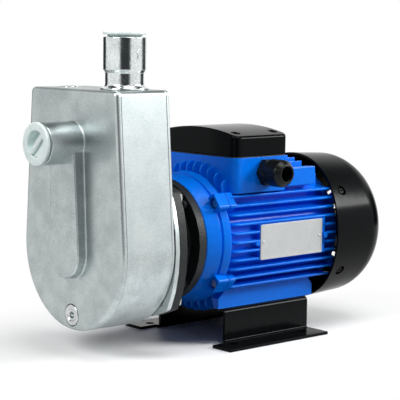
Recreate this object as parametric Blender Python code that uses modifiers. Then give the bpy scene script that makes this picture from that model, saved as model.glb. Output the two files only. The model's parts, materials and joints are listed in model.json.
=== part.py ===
"""Self-priming centrifugal pump with a finned motor on a folded steel base.

Design axes: the shaft runs along Y. X = 0 and Z = 0 lie on the shaft axis, Y = 0 is the
casing's front face, the suction port looks to -Y and the fan cowl ends at +Y.
The empty "pump_origin" carries everything and moves that axis system so that the world
origin is under the middle of the whole pump, on the floor.
"""

import math

import bmesh
import bpy
from mathutils import Matrix, Vector

MM = 0.001
GAP = 0.3 * MM                      # clearance between pieces that touch

# Casing: a deep D, round below and square above, with straight tapering sides
CASING_ARC_R = 76.0 * MM
CASING_TOP_HALF = 65.2 * MM
CASING_TOP_Z = 147.4 * MM
CASING_DEPTH = 60.4 * MM
CASING_WALL = 3.0 * MM
CASING_CORNER_R = 5.0 * MM
CASING_EDGE_R = 3.0 * MM

# Suction port and the raised channel that runs down from it to the impeller eye
PORT_BORE_R = 14.8 * MM
SUCTION_Z = 98.5 * MM
SUCTION_NOZZLE_R = 19.5 * MM
SUCTION_NOZZLE_LENGTH = 35.6 * MM
CHANNEL_BOTTOM_R = 22.5 * MM
CHANNEL_BOTTOM_Z = -4.0 * MM
CHANNEL_TOP_RISE = 11.6 * MM
CHANNEL_BOTTOM_RISE = 9.5 * MM
CHANNEL_WALL = 3.0 * MM
CHANNEL_SLOT_INSET = 1.5 * MM       # of the hollow from the channel's wall
CHANNEL_SLOT_DROP = 14.0 * MM       # of the hollow's top below the valve chamber
CHANNEL_EDGE_R = 2.2 * MM
DUCT_WALL = 2.5 * MM
DUCT_HALF_WIDTH = 21.0 * MM
DUCT_DEPTH = 24.5 * MM
VALVE_CHAMBER_DEPTH = 40.5 * MM
VALVE_CHAMBER_TOP = 25.0 * MM       # above the suction port's centre
VALVE_CHAMBER_BELOW = 22.0 * MM     # below the suction port's centre

# Check valve flap inside the suction port
FLAP_R = 17.0 * MM
FLAP_THICKNESS = 3.0 * MM
FLAP_PIN_R = 1.8 * MM
FLAP_PIN_ABOVE_EDGE = 2.0 * MM

# Discharge nozzle on the top plate
DISCHARGE_X = 37.5 * MM
DISCHARGE_Y = 31.5 * MM
DISCHARGE_NECK_R = 17.7 * MM
DISCHARGE_SOCKET_R = 19.5 * MM
DISCHARGE_HEIGHT = 47.2 * MM
DISCHARGE_SOCKET_DEPTH = 29.2 * MM
DISCHARGE_FLARE = 4.5 * MM

# White transit plugs in both ports
TRANSIT_FLANGE_R = 19.9 * MM
TRANSIT_FLANGE_THICKNESS = 2.9 * MM
TRANSIT_COLLAR = 1.7 * MM           # narrow collar that shows as a dark gap
TRANSIT_SHANK_LENGTH = 11.0 * MM
TRANSIT_RECESS_R = 12.5 * MM
TRANSIT_RECESS_DEPTH = 8.0 * MM
TRANSIT_BAR = 5.0 * MM

# Drain and priming plugs with a hexagon socket
SOCKET_PLUG_R = 10.0 * MM
SOCKET_PLUG_HEAD = 4.0 * MM
SOCKET_PLUG_PROUD = 0.6 * MM
SOCKET_PLUG_THREAD_R = 7.5 * MM
SOCKET_PLUG_LENGTH = 12.0 * MM
SOCKET_PLUG_KEY_R = 3.8 * MM
PLUG_BOSS_R = 13.0 * MM
PLUG_BOSS_DEPTH = 11.0 * MM
DRAIN_Z = -61.5 * MM
PRIMING_X = -45.0 * MM

# Rear flange plate of the casing and the bracket flange behind it
FLANGE_HALF_WIDTH = 77.2 * MM
FLANGE_HALF_HEIGHT = 69.5 * MM
FLANGE_CORNER_X = 64.6 * MM
FLANGE_CORNER_Z = 55.2 * MM
FLANGE_CORNER_R = 7.0 * MM
BACK_PLATE_THICKNESS = 4.6 * MM
BRACKET_FLANGE_THICKNESS = 9.0 * MM
COVER_OPENING_R = 62.0 * MM
REAR_OPENING_R = 56.0 * MM
CASING_BOLT_X = 56.0 * MM
CASING_BOLT_Z = 48.0 * MM
CASING_BOLT_R = 4.0 * MM
CASING_BOLT_HEAD_R = 7.5 * MM
CASING_BOLT_HEAD = 5.3 * MM

# Seal plate, its O-ring and the mechanical seal
SEAL_BOSS_R = 20.0 * MM
SEAL_BOSS_LENGTH = 4.0 * MM
SEAL_SEAT_R = 14.5 * MM
SEAL_SEAT_THICKNESS = 5.0 * MM
SEAL_LIP_R = 10.5 * MM
O_RING_WIRE_R = 1.0 * MM
SEAL_HEAD_R = 12.5 * MM
SEAL_HEAD_LENGTH = 6.0 * MM
SPRING_R = 10.2 * MM
SPRING_WIRE_R = 0.8 * MM
SPRING_TURNS = 3.0

# Volute and impeller, in the rear half of the casing
VOLUTE_WALL = 2.5 * MM
VOLUTE_START_R = 48.5 * MM
VOLUTE_END_R = 59.0 * MM
VOLUTE_THROAT = 13.0 * MM
VOLUTE_TOP_Z = 58.0 * MM
VOLUTE_EYE_R = 17.0 * MM
IMPELLER_R = 46.0 * MM
IMPELLER_SHROUD = 2.2 * MM
IMPELLER_CHANNEL = 9.0 * MM
IMPELLER_EYE_R = 13.5 * MM
IMPELLER_HUB_R = 11.0 * MM
IMPELLER_VANES = 6
IMPELLER_VANE = 2.2 * MM
IMPELLER_NUT_R = 8.0 * MM
IMPELLER_NUT_LENGTH = 6.0 * MM

# Lantern bracket between casing and motor
BRACKET_BORE_R = 22.0 * MM
BRACKET_RING_WIDTH = 13.5 * MM      # from the neck to the ring's edge
BRACKET_WALL = 5.0 * MM
BRACKET_RING_THICKNESS = 8.7 * MM
BRACKET_END_Y = 113.7 * MM
BRACKET_WINDOW_HALF_ANGLE = 28.0
BRACKET_SCREW_INSET = 6.5 * MM      # from the ring's edge
BRACKET_SCREW_R = 4.4 * MM
BRACKET_SCREW_HEAD = 4.0 * MM
SLINGER_R = 17.0 * MM
SLINGER_WALL = 4.0 * MM

# Motor: front end shield, finned frame and rear end shield
SHIELD_FRONT_STEP = 0.5 * MM        # steps outwards from the frame's drum
SHIELD_GROOVE_STEP = 4.2 * MM
SHIELD_RIM_STEP = 6.3 * MM
SHIELD_GROOVE_Y = 130.6 * MM
SHIELD_END_Y = 140.9 * MM
SHIELD_WALL = 5.5 * MM
LUG_ANGLE = 36.0
LUG_EDGE = 6.0 * MM                 # from the bolt's centre to the lug's outer face
LUG_HALF_WIDTH = 8.5 * MM
LUG_FRONT_Y = 127.0 * MM
LUG_SETBACK = 0.3 * MM              # of a lug's end from the joint face beside it
LUG_BOLT_STEP = 6.5 * MM            # from the drum to the bolt's centre
LUG_CORNER_R = 1.6 * MM
LUG_SCREW_R = 2.5 * MM
LUG_SCREW_HEAD_R = 4.4 * MM
LUG_SCREW_HEAD = 4.0 * MM
LUG_POCKET_R = 5.4 * MM
LUG_POCKET_DEPTH = 6.5 * MM
FRAME_LUG_LENGTH = 8.0 * MM
FRAME_R = 59.0 * MM
FRAME_WALL = 4.4 * MM
FRAME_END_Y = 286.0 * MM
SIDE_FIN_HEIGHT = 8.0 * MM
SIDE_FIN_CROWN_R = 109.6 * MM       # of the flat arc that their tips lie on
SIDE_FIN_PITCH = 8.7 * MM
SIDE_FIN_COUNT = 11
UPRIGHT_FIN_HEIGHT = 15.5 * MM
UPRIGHT_FIN_PITCH = 10.1 * MM
TOP_FIN_MARGIN = 8.0 * MM           # from the last fin's middle to the drum's side
FIN_ROOT = 3.4 * MM
FIN_TIP = 2.2 * MM
FIN_SETBACK = 1.5 * MM
FIN_SINK = 3.0 * MM                 # of their roots into the drum
FIN_REAR_GAP = 4.5 * MM             # in front of the cowl's upper edge
FIN_CORNER_R = 7.0 * MM             # of their front corners
UPRIGHT_FIN_END_Y = 273.0 * MM
SHOULDER_RISE = 9.0 * MM            # above the terminal box's floor
SHOULDER_DEPTH = 10.0 * MM          # below the terminal box's floor
SHOULDER_DECK = 4.0 * MM
SHOULDER_END_Y = 260.5 * MM
SHOULDER_STEP = 0.2 * MM            # of the shoulder's side from the box's side
FOOT_WALL = 7.4 * MM
FOOT_OVERHANG = 3.6 * MM            # of the foot's inner side beyond the drum at its top
FOOT_HEIGHT = 18.7 * MM
FOOT_DROP = 7.2 * MM                # below the drum
FOOT_FRONT_SLOPE = 20.0 * MM
FOOT_REAR_SLOPE = 14.0 * MM
FOOT_END_Y = 270.5 * MM

# Terminal box, cast with the frame, and its cover
BOX_HALF_WIDTH = 58.0 * MM
BOX_FRONT_Y = 150.5 * MM
BOX_LENGTH = 71.5 * MM
BOX_CORNER_R = 8.0 * MM
BOX_WALL = 3.0 * MM
BOX_DEPTH = 22.2 * MM
BOX_SINK = 0.5 * MM                 # of the box's floor into the drum
GASKET_THICKNESS = 0.7 * MM
COVER_SIDE_HEIGHT = 19.0 * MM
COVER_CROWN = 7.4 * MM
COVER_WALL = 2.5 * MM
COVER_SCREW_INSET_X = 12.0 * MM
COVER_SCREW_INSET_Y = 11.0 * MM
COVER_SCREW_POCKET_R = 4.6 * MM
COVER_SCREW_POCKET_DEPTH = 6.5 * MM
COVER_SCREW_HEAD_R = 3.8 * MM
COVER_SCREW_HEAD = 2.4 * MM
COVER_SCREW_R = 2.0 * MM
COVER_SCREW_GRIP = 8.0 * MM         # of the thread in the box
COVER_POST_R = 4.5 * MM
BOARD_SIZE_X = 44.0 * MM
BOARD_SIZE_Y = 30.0 * MM
BOARD_THICKNESS = 6.0 * MM
STUD_R = 2.2 * MM
STUD_HEIGHT = 9.0 * MM

# Cable gland on the box's right-hand wall
GLAND_Y = 192.0 * MM
GLAND_RISE = 7.0 * MM               # above the box's floor
GLAND_BORE_R = 6.6 * MM
GLAND_HEX_R = 14.4 * MM
GLAND_HEX_LENGTH = 8.0 * MM
GLAND_NUT_R = 13.3 * MM
GLAND_NUT_LENGTH = 20.0 * MM
GLAND_THREAD_R = 9.6 * MM
GLAND_TAIL = 4.0 * MM               # of the thread inside the box's wall
GLAND_DOME_R = 5.0 * MM
GLAND_MOUTH_STEP = 0.8 * MM         # of the nut's mouth outside the bore

# Bare plate on the motor's right-hand side
PLATE_INSET = 1.6 * MM              # of its face from the fin tips
PLATE_START_Y = 177.8 * MM
PLATE_LENGTH = 85.6 * MM
PLATE_CENTRE_Z = -1.8 * MM
PLATE_HEIGHT = 34.4 * MM
PLATE_THICKNESS = 0.8 * MM
PLATE_PAD_FRONT = 0.8 * MM          # how far the pad passes the plate's ends
PLATE_PAD_REAR = 5.0 * MM
PLATE_PAD_EDGE = 0.5 * MM           # above and below the plate
PLATE_BOSS_R = 3.0 * MM
PLATE_BOSS_STEP = 4.4 * MM          # of the bosses from the plate's ends
PLATE_BOSS_PROUD = 0.6 * MM         # of the fin tips
RIVET_R = 1.8 * MM
RIVET_INSET = 3.6 * MM
RIVET_HEAD = 0.9 * MM

# Stator, rotor, shaft and bearings
STATOR_START_Y = 165.0 * MM
STATOR_LENGTH = 70.0 * MM
STATOR_BUILD = 23.6 * MM            # from its bore to the frame
STATOR_SLOTS = 18
STATOR_YOKE = 12.6 * MM             # from its slots to the frame
AIR_GAP = 0.5 * MM
WINDING_BORE_STEP = 3.0 * MM        # outwards from the stator's bore
WINDING_FRAME_GAP = 4.6 * MM
WINDING_OVERHANG = 13.0 * MM
ROTOR_RING_LENGTH = 7.0 * MM
SHAFT_ROTOR_R = 11.0 * MM
SHAFT_BEARING_R = 8.5 * MM
SHAFT_SEAL_R = 7.0 * MM
SHAFT_IMPELLER_R = 6.0 * MM
SHAFT_NUT_R = 4.5 * MM
SHAFT_FAN_R = 6.5 * MM
BEARING_OUTER_R = 20.0 * MM
BEARING_WIDTH = 12.0 * MM
BEARING_RING = 3.2 * MM
BEARING_BALLS = 8
BALL_BITE = 0.4 * MM                # of a ball into the inner ring
TRACK_CLEARANCE = 0.7 * MM          # between a ball and the outer ring
HOUSING_WALL = 5.0 * MM
SHAFT_HOLE_R = 11.0 * MM
REAR_SHIELD_THICKNESS = 6.0 * MM
REAR_SHIELD_STEP = 1.0 * MM         # outwards from the drum
REAR_SPIGOT = 4.0 * MM
REAR_BEARING_DEPTH = 18.0 * MM      # of the rear bearing inside the frame's end

# Fan and cowl
FAN_START_Y = 301.0 * MM
FAN_LENGTH = 22.0 * MM
FAN_SPACE = 12.2 * MM               # from its tips to the cowl's rear radius
FAN_HUB_R = 14.0 * MM
FAN_BLADES = 8
FAN_BLADE = 2.5 * MM
COWL_STANDOFF = 17.8 * MM           # from the drum to the cowl's front edge
COWL_TAPER = 2.6 * MM
COWL_SIDE_FRONT_Y = 276.0 * MM
COWL_TOP_FRONT_Y = 288.0 * MM
COWL_END_Y = 360.0 * MM
COWL_ROUND_R = 32.0 * MM
COWL_WALL = 2.2 * MM
GRILLE_RINGS = 3
GRILLE_SPOKES = 6
GRILLE_INNER_R = 13.0 * MM
GRILLE_SLOT = 6.0 * MM
GRILLE_RIB = 3.4 * MM
COWL_SCREW_Y = 294.0 * MM
COWL_SCREW_ANGLE = 33.0
COWL_SCREW_POCKET_R = 5.4 * MM
COWL_SCREW_POCKET_DEPTH = 3.6 * MM
COWL_SCREW_R = 2.0 * MM
COWL_SCREW_HEAD_R = 4.4 * MM
COWL_SCREW_HEAD = 2.4 * MM
COWL_SCREW_GRIP = 7.0 * MM          # of the thread in the rear shield's post
COWL_POST_R = 5.0 * MM
COWL_POST_ROOT = 14.0 * MM          # inwards from the drum
COWL_SCREW_DEPTH = 10.0 * MM

# Folded base under the motor
BASE_HEIGHT = 34.5 * MM
BASE_SHEET = 3.0 * MM
BASE_WEB_OUTSET = 4.0 * MM          # outwards from the motor's feet
BASE_BEND_R = 4.5 * MM
BASE_START_Y = 147.0 * MM
BASE_END_Y = 260.7 * MM
BASE_FOOT_X = 79.6 * MM
BASE_TOE_START_Y = 127.2 * MM
BASE_WINDOW_INSET = 0.8 * MM        # inwards from the motor's feet
BASE_WINDOW_END_Y = 231.0 * MM
BASE_HOLE_X = 63.0 * MM
BASE_HOLE_FRONT_Y = 145.8 * MM
BASE_HOLE_REAR_Y = 241.2 * MM
BASE_HOLE_R = 4.5 * MM
BASE_BOLT_FRONT_Y = 160.0 * MM
BASE_BOLT_REAR_Y = 248.0 * MM
BASE_BOLT_R = 2.5 * MM
BASE_BOLT_HEAD_R = 4.6 * MM
BASE_BOLT_HEAD = 3.5 * MM
BASE_BOLT_LENGTH = 10.0 * MM

ROUND = 32                          # sides of a large outer circle
MEDIUM = 18                         # sides of a port or boss
INNER = 16                          # sides of a hidden turned piece
SMALL = 8                           # sides of a screw


# Places worked out from the driving sizes
SHIELD_FRONT_R = FRAME_R + SHIELD_FRONT_STEP
SHIELD_GROOVE_R = FRAME_R + SHIELD_GROOVE_STEP
SHIELD_RIM_R = FRAME_R + SHIELD_RIM_STEP
BRACKET_RING_R = SHIELD_FRONT_R
BRACKET_NECK_R = BRACKET_RING_R - BRACKET_RING_WIDTH
BRACKET_SCREW_PITCH_R = BRACKET_RING_R - BRACKET_SCREW_INSET
LUG_BOLT_R = FRAME_R + LUG_BOLT_STEP
LUG_OUTER_R = LUG_BOLT_R + LUG_EDGE
FRAME_BORE_R = FRAME_R - FRAME_WALL
SIDE_FIN_TIP_R = FRAME_R + SIDE_FIN_HEIGHT
UPRIGHT_FIN_TIP_R = FRAME_R + UPRIGHT_FIN_HEIGHT
FOOT_BOTTOM_Z = -FRAME_R - FOOT_DROP
FOOT_TOP_Z = FOOT_BOTTOM_Z + FOOT_HEIGHT
FOOT_INNER_X = math.sqrt(FRAME_R ** 2 - FOOT_TOP_Z ** 2) + FOOT_OVERHANG
FOOT_OUTER_X = FOOT_INNER_X + FOOT_WALL
BOX_FLOOR_Z = FRAME_R - BOX_SINK
BOX_TOP_Z = BOX_FLOOR_Z + BOX_DEPTH
TOP_FIN_PAIRS = int((FRAME_R - TOP_FIN_MARGIN) / UPRIGHT_FIN_PITCH + 0.5)
BOTTOM_FIN_PAIRS = int((FOOT_INNER_X - FIN_ROOT / 2) / UPRIGHT_FIN_PITCH + 0.5)
SHOULDER_TOP_Z = BOX_FLOOR_Z + SHOULDER_RISE
SHOULDER_BOTTOM_Z = BOX_FLOOR_Z - SHOULDER_DEPTH
COVER_SCREW_X = BOX_HALF_WIDTH - COVER_SCREW_INSET_X
GLAND_Z = BOX_FLOOR_Z + GLAND_RISE
PLATE_FACE_X = SIDE_FIN_TIP_R - PLATE_INSET
STATOR_BORE_R = FRAME_BORE_R - STATOR_BUILD
STATOR_SLOT_R = FRAME_BORE_R - STATOR_YOKE
WINDING_INNER_R = STATOR_BORE_R + WINDING_BORE_STEP
WINDING_OUTER_R = FRAME_BORE_R - WINDING_FRAME_GAP
COWL_FRONT_R = FRAME_R + COWL_STANDOFF
COWL_REAR_R = COWL_FRONT_R - COWL_TAPER
FAN_R = COWL_REAR_R - FAN_SPACE
BASE_WEB_X = FOOT_OUTER_X + BASE_WEB_OUTSET
BASE_TOE_INNER_X = BASE_WEB_X + BASE_BEND_R
BASE_WINDOW_X = FOOT_INNER_X - BASE_WINDOW_INSET
BASE_BOLT_X = (FOOT_INNER_X + FOOT_OUTER_X) / 2
SHAFT_HEIGHT = BASE_HEIGHT + GAP - FOOT_BOTTOM_Z
BACK_PLATE_END_Y = CASING_DEPTH + GAP + BACK_PLATE_THICKNESS
BRACKET_START_Y = BACK_PLATE_END_Y + GAP
BRACKET_FLANGE_END_Y = BRACKET_START_Y + BRACKET_FLANGE_THICKNESS
SHIELD_START_Y = BRACKET_END_Y + GAP
FRAME_START_Y = SHIELD_END_Y + GAP
REAR_SHIELD_START_Y = FRAME_END_Y + GAP
SEAL_PLATE_START_Y = CASING_DEPTH + GAP
VOLUTE_START_Y = DUCT_DEPTH + GAP
VOLUTE_END_Y = CASING_DEPTH - CASING_WALL - GAP
IMPELLER_START_Y = VOLUTE_START_Y + VOLUTE_WALL + 1.5 * MM
IMPELLER_BACK_Y = IMPELLER_START_Y + IMPELLER_SHROUD + IMPELLER_CHANNEL
SEAL_SEAT_START_Y = SEAL_PLATE_START_Y + GAP
SEAL_HEAD_START_Y = SEAL_SEAT_START_Y - GAP - SEAL_HEAD_LENGTH
IMPELLER_HUB_END_Y = IMPELLER_BACK_Y + IMPELLER_SHROUD + 2.0 * MM
BOX_CENTRE_Y = BOX_FRONT_Y + BOX_LENGTH / 2
COVER_BOTTOM_Z = BOX_TOP_Z + GASKET_THICKNESS + 2 * GAP
GLAND_START_X = BOX_HALF_WIDTH + GAP
GLAND_NUT_START_X = GLAND_START_X + GLAND_HEX_LENGTH + GAP
GLAND_END_X = GLAND_NUT_START_X + GLAND_NUT_LENGTH
FRONT_BEARING_Y = SHIELD_START_Y + 5.0 * MM
REAR_BEARING_Y = FRAME_END_Y - REAR_BEARING_DEPTH
BASE_TOP_Z = FOOT_BOTTOM_Z - GAP
FLOOR_Z = -SHAFT_HEIGHT
TRANSIT_FACE = TRANSIT_FLANGE_THICKNESS + TRANSIT_COLLAR + GAP


def collection(name):
    """Return a new collection linked to the scene."""
    group = bpy.data.collections.new(name)
    bpy.context.scene.collection.children.link(group)
    return group


def clear_scene():
    """Remove every object that the opened scene holds."""
    for old in list(bpy.data.objects):
        bpy.data.objects.remove(old, do_unlink=True)


clear_scene()
PARTS = collection("self_priming_pump")
CUTTERS = collection("cutters")


def empty(name, at, parent=None):
    """Add an empty at a point of the design axes."""
    marker = bpy.data.objects.new(name, None)
    marker.empty_display_size = 0.02
    PARTS.objects.link(marker)
    marker.parent = parent
    marker.location = Vector(at)
    return marker


WIDTH_CENTRE_X = (GLAND_END_X - BASE_FOOT_X) / 2
FRONT_END_Y = -(SUCTION_NOZZLE_LENGTH + TRANSIT_FACE)
LENGTH_CENTRE_Y = (COWL_END_Y + FRONT_END_Y) / 2
ORIGIN = empty("pump_origin", (-WIDTH_CENTRE_X, -LENGTH_CENTRE_Y, SHAFT_HEIGHT))


def joint_marker(name, at):
    """Add an empty on a joint's axis, given in the design axes."""
    return empty(name, at, ORIGIN)


def srgb(value):
    """Turn one sRGB channel, 0 to 255, into a linear value."""
    c = value / 255.0
    return c / 12.92 if c <= 0.04045 else ((c + 0.055) / 1.055) ** 2.4


def finish(name, colour, roughness, metallic):
    """Return a Principled material; colour is an sRGB triple."""
    mat = bpy.data.materials.new(name)
    mat.use_nodes = True
    shader = mat.node_tree.nodes["Principled BSDF"]
    linear = [srgb(channel) for channel in colour] + [1.0]
    shader.inputs["Base Color"].default_value = linear
    shader.inputs["Roughness"].default_value = roughness
    shader.inputs["Metallic"].default_value = metallic
    mat.diffuse_color = linear
    return mat


def paint(target, colour, roughness=0.5, metallic=0.0):
    """Give a piece its own material and smooth its round faces."""
    mat = finish(target.name, colour, roughness, metallic)
    target.data.materials.clear()
    target.data.materials.append(mat)
    target.data.shade_smooth()
    target.data.set_sharp_from_angle(angle=math.radians(35))
    return target


STAINLESS_SATIN = (200, 204, 204)
STAINLESS_BRIGHT = (222, 225, 226)
CAST_BLACK = (28, 31, 32)
MOTOR_BLUE = (0, 98, 214)
GLOSS_BLACK = (14, 16, 18)
NATURAL_WHITE = (232, 238, 236)
RUBBER_BLACK = (22, 22, 23)
ZINC = (190, 192, 190)
COPPER = (176, 98, 52)
IRON_GREY = (120, 122, 124)
BOARD_BROWN = (92, 60, 38)


def keep(target, parent=ORIGIN):
    """Put a finished piece into the parts collection, under its parent, where it is."""
    offset = parent.location if parent is not ORIGIN else Vector((0, 0, 0))
    for group in list(target.users_collection):
        group.objects.unlink(target)
    PARTS.objects.link(target)
    target.parent = parent
    target.location = target.location - offset
    return target


def helper(target):
    """Mark a solid as a cutter or joining piece that the model leaves out."""
    for group in list(target.users_collection):
        group.objects.unlink(target)
    CUTTERS.objects.link(target)
    target.parent = ORIGIN
    target.hide_render = True
    target.display_type = 'WIRE'
    return target


def new_object(name, mesh):
    """Link a mesh to the scene as an object."""
    target = bpy.data.objects.new(name, mesh)
    CUTTERS.objects.link(target)
    return target


def combine(target, other, operation):
    """Add a Boolean modifier with the other solid, which becomes a helper."""
    helper(other)
    mod = target.modifiers.new(other.name, 'BOOLEAN')
    mod.operation = operation
    mod.solver = 'EXACT'
    mod.object = other
    return target


def cut(target, *others):
    """Take the other solids away from the target."""
    for other in others:
        combine(target, other, 'DIFFERENCE')
    return target


def join(target, *others):
    """Join the other solids to the target."""
    for other in others:
        combine(target, other, 'UNION')
    return target


def area(points):
    """Return the signed area of a closed outline."""
    total = 0.0
    for (x0, y0), (x1, y1) in zip(points, points[1:] + points[:1]):
        total += x0 * y1 - x1 * y0
    return total / 2


TURN_AXIS = {
    'Z': (0.0, 0.0, 0.0),
    'Y': (-math.pi / 2, 0.0, 0.0),
    '-Y': (math.pi / 2, 0.0, 0.0),
    '-Z': (math.pi, 0.0, 0.0),
    'X': (0.0, math.pi / 2, 0.0),
}


def turned(name, profile, axis='Y', at=(0, 0, 0), steps=ROUND, ring=True):
    """Turn a profile of (radius, height) points round an axis through a point.

    A ring's profile closes on itself. Otherwise its first and last points lie on the axis.
    """
    points = list(profile)
    if area(points) > 0:
        points.reverse()
    edges = [(i, i + 1) for i in range(len(points) - 1)]
    if ring:
        edges.append((len(points) - 1, 0))
    mesh = bpy.data.meshes.new(name)
    mesh.from_pydata([(r, 0.0, h) for r, h in points], edges, [])
    target = new_object(name, mesh)
    target.location = at
    target.rotation_euler = TURN_AXIS[axis]
    screw = target.modifiers.new("turn", 'SCREW')
    screw.angle = 2 * math.pi
    screw.steps = steps
    screw.render_steps = steps
    screw.use_merge_vertices = True
    screw.merge_threshold = 0.00002
    return target


def tube(name, inner, outer, start, end, axis='Y', at=(0, 0, 0), steps=ROUND):
    """Return a plain ring of rectangular section."""
    profile = [(inner, start), (inner, end), (outer, end), (outer, start)]
    return turned(name, profile, axis, at, steps)


def rod(name, radius, start, end, axis='Y', at=(0, 0, 0), steps=MEDIUM):
    """Return a plain cylinder along an axis, between two heights on it."""
    mesh = bpy.data.meshes.new(name)
    bm = bmesh.new()
    bmesh.ops.create_cone(bm, cap_ends=True, segments=steps, radius1=radius,
                          radius2=radius, depth=end - start)
    bmesh.ops.translate(bm, verts=bm.verts, vec=(0, 0, (start + end) / 2))
    bm.to_mesh(mesh)
    bm.free()
    target = new_object(name, mesh)
    target.location = at
    target.rotation_euler = TURN_AXIS[axis]
    return target


def block(name, low, high):
    """Return a box between two corners of the design axes."""
    mesh = bpy.data.meshes.new(name)
    bm = bmesh.new()
    bmesh.ops.create_cube(bm, size=1.0)
    size = Vector(high) - Vector(low)
    middle = (Vector(high) + Vector(low)) / 2
    bmesh.ops.scale(bm, vec=size, verts=bm.verts)
    bm.to_mesh(mesh)
    bm.free()
    target = new_object(name, mesh)
    target.location = middle
    return target


def evaluated_mesh(source, name):
    """Return the mesh of an object with its modifiers or curve settings applied."""
    view = bpy.context.view_layer
    view.update()
    graph = bpy.context.evaluated_depsgraph_get()
    mesh = bpy.data.meshes.new_from_object(source.evaluated_get(graph), depsgraph=graph)
    mesh.name = name
    return mesh


PLATE_AXIS = {
    'Y': Matrix(((1, 0, 0), (0, 0, -1), (0, 1, 0))).to_4x4(),
    'X': Matrix(((0, 0, 1), (1, 0, 0), (0, 1, 0))).to_4x4(),
    'Z': Matrix.Identity(4),
}


def plate(name, loops, start, end, axis='Y'):
    """Extrude flat outlines along an axis.

    Loops inside another loop are holes. Along Y the outline is (x, z), along X it is
    (y, z) and along Z it is (x, y).
    """
    curve = bpy.data.curves.new(name, 'CURVE')
    curve.dimensions = '2D'
    curve.fill_mode = 'BOTH'
    curve.extrude = (end - start) / 2
    for loop in loops:
        spline = curve.splines.new('POLY')
        spline.points.add(len(loop) - 1)
        spline.use_cyclic_u = True
        for point, (x, y) in zip(spline.points, loop):
            point.co = (x, y, 0, 1)
    source = bpy.data.objects.new(name, curve)
    CUTTERS.objects.link(source)
    mesh = evaluated_mesh(source, name)
    bpy.data.objects.remove(source, do_unlink=True)
    bm = bmesh.new()
    bm.from_mesh(mesh)
    bmesh.ops.remove_doubles(bm, verts=bm.verts, dist=0.00001)
    bmesh.ops.dissolve_limit(bm, angle_limit=0.0005, verts=bm.verts, edges=bm.edges)
    bmesh.ops.transform(bm, matrix=PLATE_AXIS[axis], verts=bm.verts)
    along = {'Y': (0, 1, 0), 'X': (1, 0, 0), 'Z': (0, 0, 1)}[axis]
    bmesh.ops.translate(bm, verts=bm.verts, vec=Vector(along) * (start + end) / 2)
    bmesh.ops.recalc_face_normals(bm, faces=bm.faces)
    bm.to_mesh(mesh)
    bm.free()
    return new_object(name, mesh)


def round_edges(target, chosen, width, segments=3):
    """Round those edges of a mesh whose two ends pass the test."""
    bm = bmesh.new()
    bm.from_mesh(target.data)
    edges = [e for e in bm.edges if chosen(e.verts[0].co, e.verts[1].co)]
    bmesh.ops.bevel(bm, geom=edges, offset=width, offset_type='OFFSET', segments=segments,
                    profile=0.5, affect='EDGES', clamp_overlap=True)
    bm.to_mesh(target.data)
    bm.free()
    return target


def close_to(value, wanted):
    """Say whether a coordinate lies on a plane."""
    return abs(value - wanted) < 0.00002


def baked(target):
    """Apply a solid's modifiers, so that copies can share its mesh."""
    mesh = evaluated_mesh(target, target.name)
    target.modifiers.clear()
    target.data = mesh
    return target


def arc(cx, cy, radius, start, end, steps):
    """Return points on an arc, angles in radians, both ends included."""
    span = end - start
    angles = [start + span * i / steps for i in range(steps + 1)]
    return [(cx + radius * math.cos(a), cy + radius * math.sin(a)) for a in angles]


def rounded(corners, steps=3):
    """Round the corners of an outline; each corner is (x, y, radius)."""
    points = []
    count = len(corners)
    for i, (x, y, radius) in enumerate(corners):
        here = Vector((x, y))
        back = (Vector(corners[i - 1][:2]) - here).normalized()
        ahead = (Vector(corners[(i + 1) % count][:2]) - here).normalized()
        half = back.angle(ahead) / 2
        if radius <= 0:
            points.append((x, y))
            continue
        reach = radius / math.tan(half)
        centre = here + (back + ahead).normalized() * radius / math.sin(half)
        first = here + back * reach - centre
        last = here + ahead * reach - centre
        turn = first.angle_signed(last)
        base = math.atan2(first.y, first.x)
        points += arc(centre.x, centre.y, radius, base, base - turn, steps)
    return points


def casing_outline(inset):
    """Return the casing's outline in (x, z), moved inwards by a wall."""
    span = math.hypot(CASING_TOP_HALF, CASING_TOP_Z)
    tangent = math.atan2(CASING_TOP_Z, CASING_TOP_HALF) - math.acos(CASING_ARC_R / span)
    side_x = CASING_ARC_R * math.cos(tangent)
    side_z = CASING_ARC_R * math.sin(tangent)
    slope = (side_x - CASING_TOP_HALF) / (CASING_TOP_Z - side_z)
    top_z = CASING_TOP_Z - inset
    top_x = CASING_TOP_HALF + inset * slope - inset * math.hypot(1, slope)
    lower = arc(0, 0, CASING_ARC_R - inset, tangent, -math.pi - tangent, 24)
    corner = max(CASING_CORNER_R - inset, 1.0 * MM)
    corners = [(x, z, 0) for x, z in lower]
    corners += [(-top_x, top_z, corner), (top_x, top_z, corner)]
    return rounded(corners)


def channel_outline(inset, top_z=SUCTION_Z):
    """Return the suction channel's outline, the hull of an upper and a lower circle."""
    low_r = CHANNEL_BOTTOM_R - inset
    high_r = SUCTION_NOZZLE_R - inset
    lean = math.asin((low_r - high_r) / (top_z - CHANNEL_BOTTOM_Z))
    upper = arc(0, top_z, high_r, lean, math.pi - lean, 10)
    lower = arc(0, CHANNEL_BOTTOM_Z, low_r, math.pi - lean, 2 * math.pi + lean, 12)
    return upper + lower


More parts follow.
